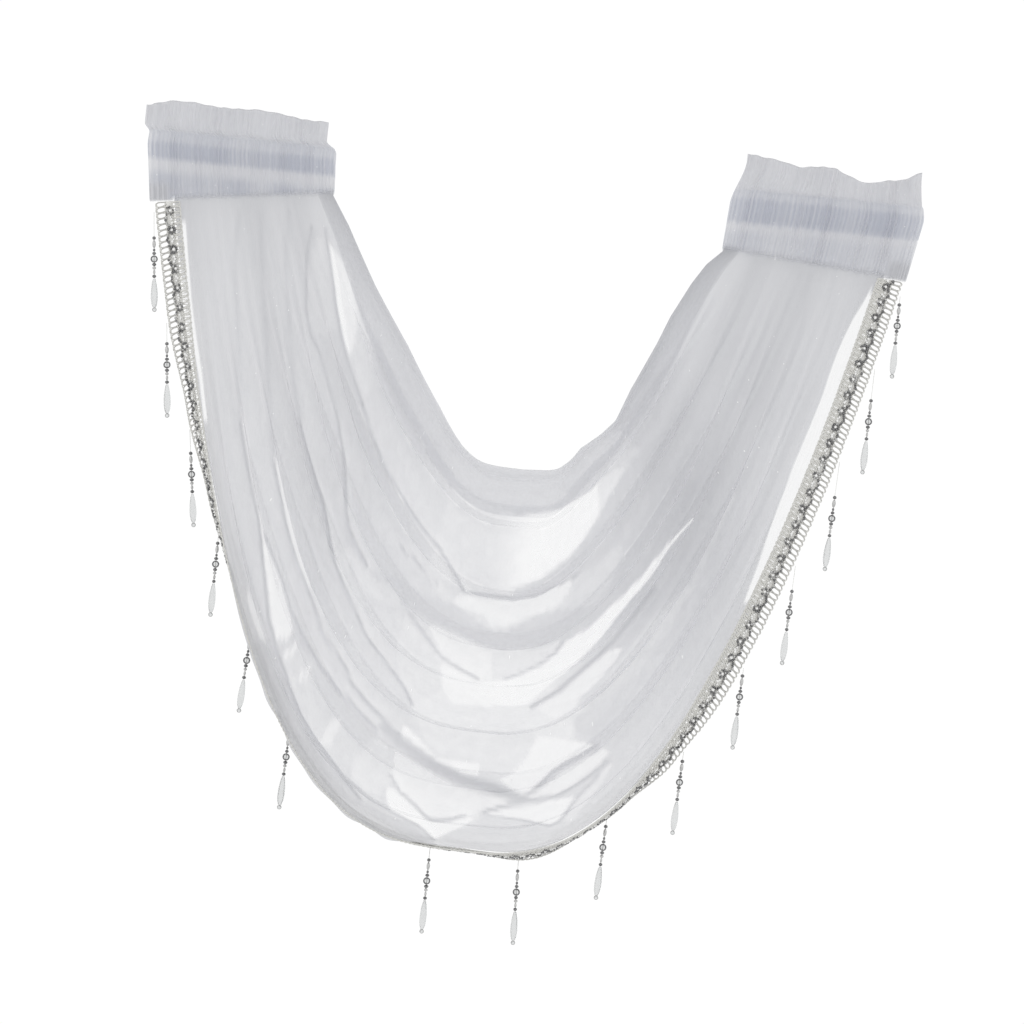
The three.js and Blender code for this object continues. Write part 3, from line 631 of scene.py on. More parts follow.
def flatter_cloth(along, line):
    """The cloth with flatter folds on its arms, and the way its front faces."""
    sheet = cloth_point(along, line)
    flatter = FLATTER * ease(np.abs(along), *FLATTER_REACH) * (1 - ease(line, *FLATTER_FOLDS))
    sheet[..., 1] += flatter * fold_rise(along, line)
    normal = unit(np.cross(np.gradient(sheet, axis=0), np.gradient(sheet, axis=1)))
    return sheet, np.where(normal[..., 1:2] > 0, -normal, normal)


def outer_edge(share):
    """Columns of points past the braided edge, and how far each row rolls over the braid."""
    rolled = ease(share, *ROLL_START) * (1 - ease(share, *ROLL_END))
    ragged = ROLL_STRAY * wander(*ROLL_STRAY_WAVES)(share)
    columns = []
    for distance, over in zip(SEWN_UNDER, ROLLED_OVER):
        height = mix(-BRAID_THICKNESS / 2 - SEWN_GAP, over + ragged, rolled)
        columns.append(braid_point(share, mix(distance, ROLL_FORWARD, rolled), height))
    return np.stack(columns, 1), rolled


def with_ends(rows, tuck=lambda row, rise, share: row):
    """Adds the rows at both ends, which run up into the headings."""
    first = [tuck(rows[0], *step) for step in TUCKED]
    last = [tuck(rows[-1], *step) for step in TUCKED[::-1]]
    return np.concatenate([first, rows, last])


def make_panel(material):
    along = np.linspace(-1, 1, PANEL_STEPS + 1)[:, None]
    along = along * mix(ROW_CROWDING, 1, np.abs(along))
    line = np.linspace(0, LAST_FOLD, LAST_FOLD * COLUMNS_PER_FOLD + 1)[None, :]
    along, line = np.broadcast_arrays(along, line)
    sheet, normal = flatter_cloth(along, line)
    height, streak = sheet_wrinkles(along, line)
    hung = hanging_line(along, line)
    sheet[..., 0] += np.interp(along, *EDGE_STRAY) * (1 - ease(hung, 0, EDGE_STRAY_FOLDS))
    fullness = fullness_at(along, hung)
    shade = np.zeros_like(fullness)
    places = seen_from_front(sheet)
    add_places(fullness, places)
    add_lit_sides(fullness, places)
    add_creases(fullness, height, shade, places)
    fullness *= (1 + STREAK * streak) / layers_over(hung) ** SHARED_LAYERS
    turning = np.abs(np.gradient(hung, axis=1)) * COLUMNS_PER_FOLD
    fullness *= mix(LIP_LAYERS, 1, ease(turning, *LIP_TURN))
    held = 1 - ease(np.abs(along), *WRINKLES_END)
    sheet = sheet + normal * (height * held)[..., None]

    # The hem is turned back behind the inner edge, and the outer edge runs on past the braid's seam
    hem = np.linspace(HEM_FOLD_LINES, HEM_TURN_LINE, HEM_COLUMNS) * COLUMNS_PER_FOLD
    hem = np.round(hem).astype(int)
    behind = sheet[:, hem].copy()
    behind[..., 1] += HEM_SET_BACK
    past, rolled = outer_edge((along[:, 0] + 1) / 2)
    last = [-1] * len(SEWN_UNDER)
    edge = mix(fullness[:, last], ROLL_LAYERS, rolled[:, None])
    points = np.concatenate([behind, sheet, past], 1)
    fullness = np.concatenate([fullness[:, hem], fullness, edge], 1)
    shade = np.concatenate([shade[:, hem], shade, shade[:, last]], 1)
    flat_line = np.concatenate([-line[:, hem], line, line[:, last]], 1)

    points = with_ends(points, lambda row, rise, share: row * [1, TUCKED_DEPTH, 1] + [0, 0, rise])
    fullness = with_ends(fullness, lambda row, rise, share: row * share)
    flat_line = with_ends(flat_line)
    along = with_ends(along[:, :1]) + np.zeros_like(fullness)
    # Painted shade on the crowded arms, deepest at the seams
    arm = np.interp(along, *ARM_SHADE)
    arm += np.minimum(arm, ARM_SHADE_STRAY) * wander(*ARM_SHADE_WAVES)(flat_line)
    shape = Shape()
    shape.add(points, grid_faces(*fullness.shape))
    panel = shape.piece("voile_panel", [material])
    add_attribute(panel, "sheer", 1 - (1 - LAYER_ALPHA) ** fullness)
    add_attribute(panel, "shade", np.clip(with_ends(shade) + arm, 0, 1))
    add_uv(panel, along * FLAT_HALF_LENGTH, flat_line * FLAT_FOLD)
    return panel


# Headings: a frill over a rod pocket, in one sheet folded over at the frill's top

HEADING_COLUMNS = 368
HEADING_FULLNESS = 6.0
HEADING_FLAT_WIDTH = 420
HEADING_FLAT_ROW = 3.0
# Broad gathers, and how far those of the back wall lag behind the front's
GATHERS = 11
GATHER_STRAY = 0.22
GATHER_STRAYS = 2.3
BACK_LAG = 0.4
# Fine gathers: how far they stray, how strong they are from place to place, and how the layers follow them
FINE_GATHERS = 46
FINE_STRAY = 0.8
FINE_STRAY_WAVES = (6, 1, 7)
FINE_STRENGTH = 0.65
FINE_STRENGTH_SWING = 0.5
FINE_STRENGTH_LIMITS = (0.15, 1.2)
FINE_STRENGTH_WAVES = (7, 3, 16)
FINE_LAYERS = 0.12
# Heights of the lines of the section, and where it narrows on the way from the pocket to the seam
STITCH_Z = 17
POCKET_TOP_Z = 13.6
POCKET_FRONT_Z = [5, -6]
POCKET_BOTTOM_Z = -13
NARROWING = 0.5
LEAST_HALF = 0.4
# Painted bluish shade in the band of the rod pocket, and on the cloth between it and the stitches
ROD_BAND_SOFT = 6
ROD_BAND_SHADE = 0.84
ROD_BAND_STRAY = 0.22
ROD_BAND_WAVES = [(5, 1.5, 6), (12, 18, 60)]
ROD_BAND_EDGE = 0.7
ROD_BAND_EDGE_WAVES = (14, 6, 40)
STITCH_SHADE = 0.4
STITCH_FADE_Z = (14, 18)
# Puckers above the seam, given painted shade: the fall below the rod where they set in, and how unevenly they
# lie
PUCKERS = (20, 32)
PUCKER_STRAYS = [(0.15, (5, 1.5, 5)), (0.12, (9, 20, 60))]
PUCKER_LIMITS = (0.1, 0.8)
# Ragged lower edge at the seam, where the layers thin out
SEAM_STRAY = 1.2
SEAM_STRAY_WAVES = (9, 4, 24)
SEAM_FADE = 8
SEAM_EDGE = 0.02
# Darker outer corner, where the braid's end is sewn in
CORNER_WIDTH = (14, 27)
CORNER_HEIGHT = (12, 24)
CORNER_FALL = 0.3
CORNER_FADE = 1
CORNER_LAYERS = 1.5
CORNER_SHADE = 1.0
CORNER_EVEN = 0.8
CORNER_STRAY = 0.4
CORNER_WAVES = (8, 30, 90)
# Section from the frill's top to the seam: half depth, height of the fine gathers, sway and swell of the
# broad gathers, and rows of the mesh down to the next line
SECTION = [
    {"half": 0.5, "fine": 0.4, "sway": 3.2, "swell": 0, "rows": 12},
    {"half": 0.9, "fine": 0.6, "sway": 0.8, "swell": 0, "rows": 3},
    {"half": 10.0, "fine": 0.7, "sway": 0, "swell": 0.5, "rows": 4},
    {"half": 15.4, "fine": 0.75, "sway": 0, "swell": 0.9, "rows": 4},
    {"half": 15.4, "fine": 0.75, "sway": 0, "swell": 0.9, "rows": 3},
    {"half": 12.6, "fine": 0.75, "sway": 0, "swell": 0.9, "rows": 6},
    {"half": 7.0, "fine": 0.75, "sway": 0, "swell": 0.9, "rows": 8},
    {"half": 2.2, "fine": 0.5, "sway": 0.6, "swell": 0, "rows": 0},
]


def gather_wave(share, lag):
    stray = GATHER_STRAY * np.sin(2 * np.pi * (GATHER_STRAYS * share + lag))
    return np.sin(2 * np.pi * (GATHERS * share + stray + lag))


def heading_rows(heading, share, seam_drop, seam_z):
    """Where the rows of a heading's mesh lie on its section, and the height of each of their points."""
    tops = heading["frill_heights"]
    frill = curve_through(tops, share * (len(tops) - 1))
    narrowed = mix(POCKET_BOTTOM_Z, -seam_drop, NARROWING)
    levels = [STITCH_Z, POCKET_TOP_Z, *POCKET_FRONT_Z, POCKET_BOTTOM_Z]
    lines_z = np.stack([frill, *(np.full_like(share, level) for level in levels), narrowed, seam_z])
    steps = [i + np.arange(row["rows"]) / row["rows"] for i, row in enumerate(SECTION[:-1])]
    place = np.append(np.concatenate(steps), len(SECTION) - 1)
    columns = [np.interp(place, np.arange(len(SECTION)), column) for column in lines_z.T]
    return place, np.stack(columns, 1)


def heading_shades(heading, share, height, corner):
    """The grey shade of the outer corner, and the bluish shade of the rod's band and of the puckers."""
    edge = ROD_BAND_EDGE * wander(*ROD_BAND_EDGE_WAVES)(share)
    low, high = heading["rod_band"]
    upper = 1 - ease(height - edge, high - ROD_BAND_SOFT, high)
    stitched = (1 - upper) * (1 - ease(height, *STITCH_FADE_Z))
    band = ROD_BAND_SHADE * ease(height + edge, low, low + ROD_BAND_SOFT) * upper + STITCH_SHADE * stitched
    band *= 1 + ROD_BAND_STRAY * sum(wander(*waves)(share) for waves in ROD_BAND_WAVES)
    patches = heading["pucker_shade"]
    for stray, waves in PUCKER_STRAYS:
        patches = patches + stray * wander(*waves)(share)
    puckers = np.clip(patches, *PUCKER_LIMITS) * ease(-height, *PUCKERS)
    grey = CORNER_SHADE * corner * (CORNER_EVEN + CORNER_STRAY * wander(*CORNER_WAVES)(share))
    return grey, band + puckers * (1 - corner)


def make_heading(name, heading, material):
    start, end = heading["ends"]
    share = np.linspace(0, 1, HEADING_COLUMNS + 1)
    seam_drop = mix(start["seam_drop"], end["seam_drop"], share)
    from_end = np.abs(share - heading["outer_end"]) * (end["seam_x"] - start["seam_x"])
    in_corner = 1 - ease(from_end, *CORNER_WIDTH)
    ragged = SEAM_STRAY * wander(*SEAM_STRAY_WAVES)(share)
    place, z = heading_rows(heading, share, seam_drop, -seam_drop + mix(ragged, -CORNER_FALL, in_corner))
    corner = in_corner * (1 - ease(z + seam_drop, *CORNER_HEIGHT))
    stray = wander(*FINE_STRAY_WAVES)
    strength = wander(*FINE_STRENGTH_WAVES)
    half, fine, sway, swell = (curve_through([row[key] for row in SECTION], place)[:, None]
                               for key in ("half", "fine", "sway", "swell"))

    def wall(sign, lag):
        phase = 2 * np.pi * (FINE_GATHERS * share + FINE_STRAY * stray(share + lag) + lag)
        uneven = np.clip(FINE_STRENGTH + FINE_STRENGTH_SWING * strength(share + lag), *FINE_STRENGTH_LIMITS)
        depth = np.maximum(half, LEAST_HALF) + swell * gather_wave(share, lag)
        y = sign * (depth + fine * uneven * np.sin(phase)) + sway * gather_wave(share, 0)
        lean = np.where(z > 0, ease(z, *heading["frill_step"]), -z / seam_drop)
        ends = []
        for one in (start, end):
            far_x = np.where(z > 0, one["frill_x"], one["seam_x"])
            ends.append(mix(one["rod_x"], far_x, lean))
        thinned = mix(SEAM_EDGE, 1, ease(z + seam_drop, 0, mix(SEAM_FADE, CORNER_FADE, in_corner)))
        full = HEADING_FULLNESS * (1 + FINE_LAYERS * np.cos(phase) * uneven) * thinned
        return np.stack([mix(*ends, share), y, z], -1), full * (1 + CORNER_LAYERS * corner)

    def over_the_top(front, back):
        return np.concatenate([front[::-1], back])

    points, fullness = (over_the_top(*pair) for pair in zip(wall(-1, 0), wall(1, BACK_LAG)))
    rows, columns = fullness.shape
    shape = Shape()
    shape.add(points, grid_faces(rows, columns))
    piece = shape.piece(name, [material])
    grey, band = heading_shades(heading, share, over_the_top(z, z), over_the_top(corner, corner))
    add_attribute(piece, "sheer", 1 - (1 - LAYER_ALPHA) ** fullness)
    add_attribute(piece, "shade", np.clip(grey, 0, 1))
    add_attribute(piece, "band", np.clip(band, 0, 1))
    down = np.cumsum(np.full((rows, columns), HEADING_FLAT_ROW), 0)
    add_uv(piece, down, share * HEADING_FLAT_WIDTH + np.zeros((rows, 1)))
    return piece


# Braid: a woven tape with a row of open loops along its outer side

BRAID_WIDTH = 24
BRAID_THICKNESS = 2
BRAID_LENGTH = 1500
BRAID_LENGTH_STEPS = 900
BRAID_END_TURN = 0.035
# How far the braid is turned under the cloth's edge, in degrees, for places along it
BRAID_TURN = [
    (0.0, 6), (0.06, 16), (0.12, 48), (0.17, 68), (0.23, 90), (0.3, 98), (0.43, 98), (0.49, 86),
    (0.54, 62), (0.58, 76), (0.62, 70), (0.66, 44), (0.72, 14), (0.8, 4), (1.0, 0),
]
LEAST_TURN_SINE = 0.3
PENDANT_THREAD_RADIUS = 0.6
# The yarns by the numbers of their materials
IVORY, GREY, TAPE, CREAM = range(4)
TAPE_OUTLINE = [(5.2, -0.5), (5.2, 0.5), (7, 0.7), (11, 0.7), (13, 0.2), (13, -0.5)]
# Loops on both sides of the beads: where they start and end across the braid, their height and yarn
# The grey yarn of the outer loops is painted shade: the shadows between white loops of yarn
OUTER_LOOPS = (12.4, 22.6, 0.3, GREY)
INNER_LOOPS = (-2.4, 6.4, 1.5, CREAM)
LOOPS = 300
LOOP_STEPS = 14
LOOP_SIDES = 5
LOOP_YARN = 0.68
LOOP_HALF = 0.46
LOOP_ROUNDING = 0.8
LOOP_LIFT = 0.3
LOOP_SLANT = {"left": 0.16, "right": -0.22}
LOOP_SLANT_STRAY = (0.8, 1.2)
LOOP_REACH_STRAY = 0.4
LOOP_LAG = 0.5
LOOP_ENDS = (0.0005, 0.9995)
# The inner loops lie twice as close on the right half
CLOSE_LAG = 0.1
CLOSE_FROM = LOOPS // 2
# Yarns that swing from side to side: middle and swing across the braid, waves along it, height, radius, yarn
BRAID_WAVES = [
    (2.2, 3.8, 384, 1.0, 0.45, IVORY),
    (-2.2, 0.5, LOOPS, 1.6, 0.6, CREAM),
    (12.8, 0.5, 512, 0.9, 0.65, IVORY),
    (21.9, 0.6, LOOPS, 0.5, 0.65, IVORY),
]
WAVE_STEPS = 6
WAVE_SIDES = 4
WAVE_LIFT = 0.3
WAVE_ENDS = (0.001, 0.999)


def braid_turn(share):
    places, degrees = np.array(BRAID_TURN, float).T
    upper = np.clip(np.searchsorted(places, share), 1, len(places) - 1)
    eased = ease(share, places[upper - 1], places[upper])
    return np.radians(mix(degrees[upper - 1], degrees[upper], eased))


def braid_frame(share):
    """Where the braid starts, the ways across and in front of it, and the step to a pendant's thread."""
    share = np.asarray(share, float)
    along = mix(-1, 1, share)
    edge = cloth_point(along, LAST_FOLD)
    ahead = cloth_point(np.minimum(along + SLOPE_STEP, 1), LAST_FOLD)
    behind = cloth_point(np.maximum(along - SLOPE_STEP, -1), LAST_FOLD)
    run = unit(ahead - behind)
    outward = unit(np.stack([run[..., 2], np.zeros_like(share), -run[..., 0]], -1))
    turned = 1 - ease(np.minimum(share, 1 - share), 0, BRAID_END_TURN)
    for side, sign, here in (("left", -1, share < 0.5), ("right", 1, share >= 0.5)):
        start, end = HEADINGS[side]["ends"]
        seam_run = [end["seam_x"] - start["seam_x"], 0, start["seam_drop"] - end["seam_drop"]]
        to_seam = mix(outward, unit(sign * np.array(seam_run, float)), turned[..., None])
        outward = np.where(here[..., None], to_seam, outward)
    outward = unit(outward)
    turn = braid_turn(share)[..., None]
    rear = unit(np.cross(run, outward))
    rear = np.where(rear[..., 1:2] < 0, -rear, rear)
    across = outward * np.cos(turn) + rear * np.sin(turn)
    front = outward * np.sin(turn) - rear * np.cos(turn)
    half = BRAID_THICKNESS / 2
    folded = np.maximum(0, -np.cos(turn))
    spread = (SEWN_GAP + half + CLOTH_THICKNESS / 2 * folded) / np.maximum(np.sin(turn), LEAST_TURN_SINE)
    clearance = np.where(folded > 0, spread, SEWN_GAP + half * np.sin(turn))
    hang = np.where(folded > 0, rear, across) * (SEWN_GAP + PENDANT_THREAD_RADIUS + half * folded)
    return edge + outward * clearance, across, front, hang


def braid_point(share, distance, height):
    origin, across, front, _ = braid_frame(share)
    distance = np.asarray(distance, float)[..., None]
    height = np.asarray(height, float)[..., None]
    return origin + across * distance + front * height


def yarn(shape, path, front, radius, sides, number, closed=False):
    """A round yarn along a row of points, with the way it faces given at each."""
    ahead = np.roll(path, -1, 0) - np.roll(path, 1, 0) if closed else np.gradient(path, axis=0)
    side = unit(np.cross(ahead, front))
    up = unit(np.cross(side, ahead))
    angle = np.linspace(0, 2 * np.pi, sides, endpoint=False)[None, :, None]
    ring = path[:, None] + radius * (np.cos(angle) * side[:, None] + np.sin(angle) * up[:, None])
    shape.add(ring, grid_faces(len(path), sides, closed, True), number)


def braid_yarn(shape, share, distance, height, radius, sides, number, closed=False):
    """A yarn over the braid, along places, distances across it and heights over it."""
    path = braid_point(share, distance, height)
    _, _, front, _ = braid_frame(share)
    yarn(shape, path, front, radius, sides, number, closed)


def braid_tape(shape):
    share = np.linspace(0, 1, BRAID_LENGTH_STEPS + 1)
    rows = [braid_point(share, np.full_like(share, distance), height) for distance, height in TAPE_OUTLINE]
    shape.add(np.stack(rows, 1), grid_faces(len(share), len(TAPE_OUTLINE), False, True), TAPE)


def braid_loops(shape, start, end, height, number, lag=LOOP_LAG, first=0):
    """Oval loops of yarn that stand out from the tape, each leaning a little along it."""
    angle = np.linspace(0, 2 * np.pi, LOOP_STEPS, endpoint=False)
    rounded = np.sign(np.cos(angle)) * np.abs(np.cos(angle)) ** LOOP_ROUNDING
    for k in range(first, LOOPS):
        at = (k + lag) / LOOPS
        slant = LOOP_SLANT["left" if at < 0.5 else "right"] * rng.uniform(*LOOP_SLANT_STRAY)
        reach = (end - start) / 2 + rng.uniform(-LOOP_REACH_STRAY, LOOP_REACH_STRAY)
        distance = (start + end) / 2 + reach * np.sin(angle)
        share = np.clip(at + (LOOP_HALF * rounded + slant * np.sin(angle)) / LOOPS, *LOOP_ENDS)
        lifted = height + LOOP_LIFT * np.sin(angle * 2)
        braid_yarn(shape, share, distance, lifted, LOOP_YARN, LOOP_SIDES, number, closed=True)


def braid_wave(shape, middle, swing, waves, height, radius, number):
    """A yarn that swings from side to side along the braid."""
    share = np.linspace(*WAVE_ENDS, waves * WAVE_STEPS + 1)
    phase = 2 * np.pi * (waves * share)
    lifted = height + WAVE_LIFT * np.cos(phase)
    braid_yarn(shape, share, middle + swing * np.sin(phase), lifted, radius, WAVE_SIDES, number)


def make_braid(yarns):
    shape = Shape()
    braid_tape(shape)
    braid_loops(shape, *OUTER_LOOPS)
    braid_loops(shape, *INNER_LOOPS)
    braid_loops(shape, *INNER_LOOPS, lag=CLOSE_LAG, first=CLOSE_FROM)
    for row in BRAID_WAVES:
        braid_wave(shape, *row)
    return shape.piece("gimp_braid", yarns)


# Row of beads: rings on the inner side, joined by short strands that swing to the outer side

# The beads by the numbers of their materials: dark gunmetal, a lighter copy of it as painted reflection on
# the beads that catch the light, and pearl
DARK, BRIGHT, PEARL = range(3)
DARK_SHARE = 0.66
DARK_STRAY = 0.3
BEAD_RADIUS = 1.25
BEAD_SIDES = 7
BEAD_BANDS = 5
BEAD_SIZES = (0.8, 1.2)
BEAD_HEIGHT = 2.0
BEAD_STRAY = 0.35
BEAD_ENDS = (0.001, 0.999)
BEAD_RINGS = 88
RING_BEADS = 8
RING_MIDDLE = 8.0
RING_RADIUS = 3.1
# The larger bead in the middle of each ring
MIDDLE_SIZES = (1.2, 1.5)
MIDDLE_HEIGHT = 1.5
# The strand to the next ring: the part of the way that it covers, and how it swings across the braid
STRAND_BEADS = 5
STRAND_PARTS = (0.22, 0.78)
STRAND_ACROSS = (9.5, 13.6)
STRAND_BEND = 1.5
# Pale beads between the rings: the part of the way to the next ring, and the distance across the braid
FILLING = [(0.37, 8.4), (0.5, 7.4), (0.63, 8.4)]


def ball(radius, sides, bands):
    """Points and faces of a round bead along Z."""
    tilt = np.linspace(0, np.pi, bands + 1)[:, None]
    angle = np.linspace(0, 2 * np.pi, sides, endpoint=False)[None, :]
    flat = np.broadcast_to(np.cos(tilt), (bands + 1, sides))
    points = np.stack([np.sin(tilt) * np.cos(angle), np.sin(tilt) * np.sin(angle), flat], -1)
    return points.reshape(-1, 3) * radius, grid_faces(bands + 1, sides, False, True)


def make_bead_row(materials):
    shape = Shape()
    points, faces = ball(BEAD_RADIUS, BEAD_SIDES, BEAD_BANDS)
    step = 1 / BEAD_RINGS

    def bead(share, distance, number):
        share = np.clip(share + rng.normal(0, BEAD_STRAY) / BRAID_LENGTH, *BEAD_ENDS)
        place = braid_point(share, distance + rng.normal(0, BEAD_STRAY), BEAD_HEIGHT)
        shape.add(points * rng.uniform(*BEAD_SIZES) + place, faces, number)

    def metal(dark_share):
        return DARK if rng.uniform() < dark_share else BRIGHT

    for k in range(BEAD_RINGS):
        middle = (k + 0.5) * step
        dark_share = DARK_SHARE + rng.uniform(-DARK_STRAY, DARK_STRAY)
        for angle in np.linspace(0, 2 * np.pi, RING_BEADS, endpoint=False):
            share = middle + RING_RADIUS * math.cos(angle) / BRAID_LENGTH
            bead(share, RING_MIDDLE + RING_RADIUS * math.sin(angle), metal(dark_share))
        place = braid_point(middle, RING_MIDDLE, MIDDLE_HEIGHT)
        shape.add(points * rng.uniform(*MIDDLE_SIZES) + place, faces, PEARL)
        for part in np.linspace(*STRAND_PARTS, STRAND_BEADS):
            swing = 1 - abs(2 * part - 1) ** STRAND_BEND
            bead(middle + part * step, mix(*STRAND_ACROSS, swing), metal(dark_share))
        for part, distance in FILLING:
            bead(middle + part * step, distance, PEARL)
    return shape.piece("bead_zigzag", materials)


# Pendants: beads on a thread, with a long glass drop

# Place along the braid, bare thread above the beads and lean in degrees of each pendant
PENDANTS = [
    (0.006, 24, 6), (0.07, 19, 6), (0.132, 22, 8), (0.194, 8, 0), (0.256, 6, -3), (0.323, 8, -2),
    (0.471, 15, 0), (0.531, 9, 2), (0.601, 6, -2), (0.668, 8, -2), (0.731, 6, -2), (0.801, 24, -2),
    (0.872, 34, -2), (0.938, 30, -1), (0.99, 7, 0),
]
# Materials of a string after the dark metal of the bead row and its lighter copy, which is painted
# reflection, and those of a drop
CLEAR, COTTON = 2, 3
DROP_CLEAR, DROP_BRIGHT = 0, 1
STRING_LENGTH = 42
STRING_RADIUS = 0.32
STRING_SIDES = 6
# Beads on the string: fall below the first one, length, radius and metal
STRUNG = [
    (0, 3.6, 2.0, DARK), (3.8, 8.2, 1.9, BRIGHT), (12.2, 3.2, 1.3, DARK), (15.6, 3.2, 2.1, DARK),
    (26.6, 3.4, 2.2, DARK), (30.2, 3.2, 1.9, BRIGHT), (33.6, 4.6, 1.3, BRIGHT), (38.4, 3.4, 2.0, DARK),
]
STRUNG_SIDES = 9
STRUNG_SIZES = (0.92, 1.06)
PROFILE_STEPS = 6
# Rings that face the front, by fall, radius and tube, and the beads in them by fall, length and radius
RING_STEPS = 20
RING_SIDES = 7
STRING_RING = (22.8, 3.0, 0.7)
STRING_RING_BEAD = (20.2, 5.2, 2.5)
STRING_RING_BEAD_SIDES = 12
END_RING = (31.2, 1.85, 0.45)
END_BEAD = (29.4, 3.9, 2.0)
# Radius and fall down the glass drop
DROP_PROFILE = [
    (0, 0), (1.1, 0.1), (1.5, 1.2), (2.2, 4), (3.0, 9), (3.5, 15), (3.5, 20), (2.9, 25), (1.7, 28.4),
    (0.7, 29.4), (0, 29.6),
]
DROP_SIDES = 10


def hanging_frame(at, lean):
    """Where a pendant hangs from, and the ways to its right, back and down."""
    _, _, _, hang = braid_frame(at)
    angle = math.radians(lean)
    down = np.array([math.sin(angle), 0, -math.cos(angle)])
    right = np.array([math.cos(angle), 0, math.sin(angle)])
    return braid_point(at, BRAID_WIDTH, 0) + hang, right, np.array([0.0, 1.0, 0.0]), down


def lathe(shape, hung, profile, sides, number, turn=0.0):
    """A turned shape that hangs along a string, from pairs of radius and fall."""
    origin, right, back, down = hung
    radius, fall = np.array(profile, float).T
    angle = np.linspace(0, 2 * np.pi, sides, endpoint=False) + turn
    ring = np.cos(angle)[:, None] * right + np.sin(angle)[:, None] * back
    points = origin + radius[:, None, None] * ring[None] + fall[:, None, None] * down
    shape.add(points, grid_faces(len(radius), sides, False, True), number)


def lathe_bead(shape, hung, top, length, radius, sides, number):
    angles = np.linspace(0, np.pi, PROFILE_STEPS + 1)
    profile = [(radius * math.sin(a), top + length * (1 - math.cos(a)) / 2) for a in angles]
    lathe(shape, hung, profile, sides, number)


def facing_ring(shape, hung, fall, radius, tube, number):
    """A ring that faces the front."""
    origin, right, back, down = hung
    angle = np.linspace(0, 2 * np.pi, RING_STEPS, endpoint=False)[:, None]
    path = origin + fall * down + radius * (np.cos(angle) * right + np.sin(angle) * down)
    front = np.broadcast_to(-back, path.shape)
    yarn(shape, path, front, tube, RING_SIDES, number, closed=True)


def make_string(name, hung, thread, materials):
    shape = Shape()
    end = thread + STRING_LENGTH
    lathe(shape, hung, [(0, 0), (STRING_RADIUS, 0), (STRING_RADIUS, end), (0, end)], STRING_SIDES, COTTON)
    for top, length, radius, metal in STRUNG:
        size = rng.uniform(*STRUNG_SIZES)
        lathe_bead(shape, hung, thread + top, length, radius * size, STRUNG_SIDES, metal)
    fall, radius, tube = STRING_RING
    facing_ring(shape, hung, thread + fall, radius, tube, DARK)
    top, length, radius = STRING_RING_BEAD
    lathe_bead(shape, hung, thread + top, length, radius, STRING_RING_BEAD_SIDES, CLEAR)
    return shape.piece(name, materials)


def make_drop(name, hung, thread, materials):
    shape = Shape()
    start = thread + STRING_LENGTH + SEWN_GAP
    profile = [(radius, fall + start) for radius, fall in DROP_PROFILE]
    lathe(shape, hung, profile, DROP_SIDES, DROP_CLEAR, rng.uniform(0, 1))
    top, length, radius = END_BEAD
    lathe_bead(shape, hung, start + top, length, radius, DROP_SIDES, DROP_CLEAR)
    fall, radius, tube = END_RING
    facing_ring(shape, hung, start + fall, radius, tube, DROP_BRIGHT)
    return shape.piece(name, materials, smooth=False)


# Materials

# Colours of the voile: lit and shaded streaks, painted shade on the crowded arms, seams and creases,
# which also greys the corners where the braid's end is sewn in, painted bluish shade of the headings' bands
# and puckers, and painted glints
VOILE = (0.79, 0.793, 0.813)
VOILE_SHADE = (0.745, 0.749, 0.772)
VOILE_GREY = (0.6, 0.605, 0.628)
VOILE_BAND = (0.545, 0.565, 0.63)
GLINT = (1.0, 1.0, 1.0)
VOILE_FINISH = {"Roughness": 0.9, "Specular IOR Level": 0.1, "Sheen Weight": 0.06, "Sheen Roughness": 0.5}
VOILE_BUMP = (0.35, 0.001)
LIGHT_THROUGH = 0.5
# Streaks and crush marks for each metre, along and across the cloth, and their parts in the weave
LONG_STREAKS = (22, 330, 1)
LONG_STREAK_PART = 0.4
CRUSH = (85, 300, 1)
CRUSH_PART = 0.6
WEAVE_DETAIL = 3.0
# How the weave's streaks, from low to high, take away from or add to the layers
STREAK_LAYERS = (0.3, 0.7, 0.8, 1.2)
# Painted glints for each metre, their size as a part of their spacing, and how solid they are
GLINTS = (62, 62, 1)
GLINT_SIZE = 0.05
GLINT_ALPHA = 0.75
# Shaded and lit colours of the braid's yarns, in the order of their numbers; the grey yarn is painted shade
YARNS = {
    "ivory_yarn": ((0.70, 0.695, 0.66), (0.85, 0.845, 0.81)),
    "grey_yarn": ((0.46, 0.455, 0.43), (0.62, 0.615, 0.59)),
    "tape_yarn": ((0.62, 0.615, 0.59), (0.9, 0.895, 0.87)),
    "cream_yarn": ((0.6, 0.595, 0.565), (0.76, 0.755, 0.725)),
}
YARN_FINISH = {"Roughness": 0.7, "Sheen Weight": 0.3}
YARN_BUMP = (0.5, 0.0004)
# Grains are the scale and detail of a noise
YARN_GRAIN = (900.0, 3.0)
METAL_GRAIN = (420.0, 1.0)
GLASS_GRAIN = (160.0, 2.0)
PLAIN_GRAIN = (600.0, 2.0)
PALER = 1.08
METAL_FINISH = {"Metallic": 0.85}
GLASS_FINISH = {"Transmission Weight": 1.0, "IOR": 1.42}
MOTTLE_RANGE = (0.2, 0.8)


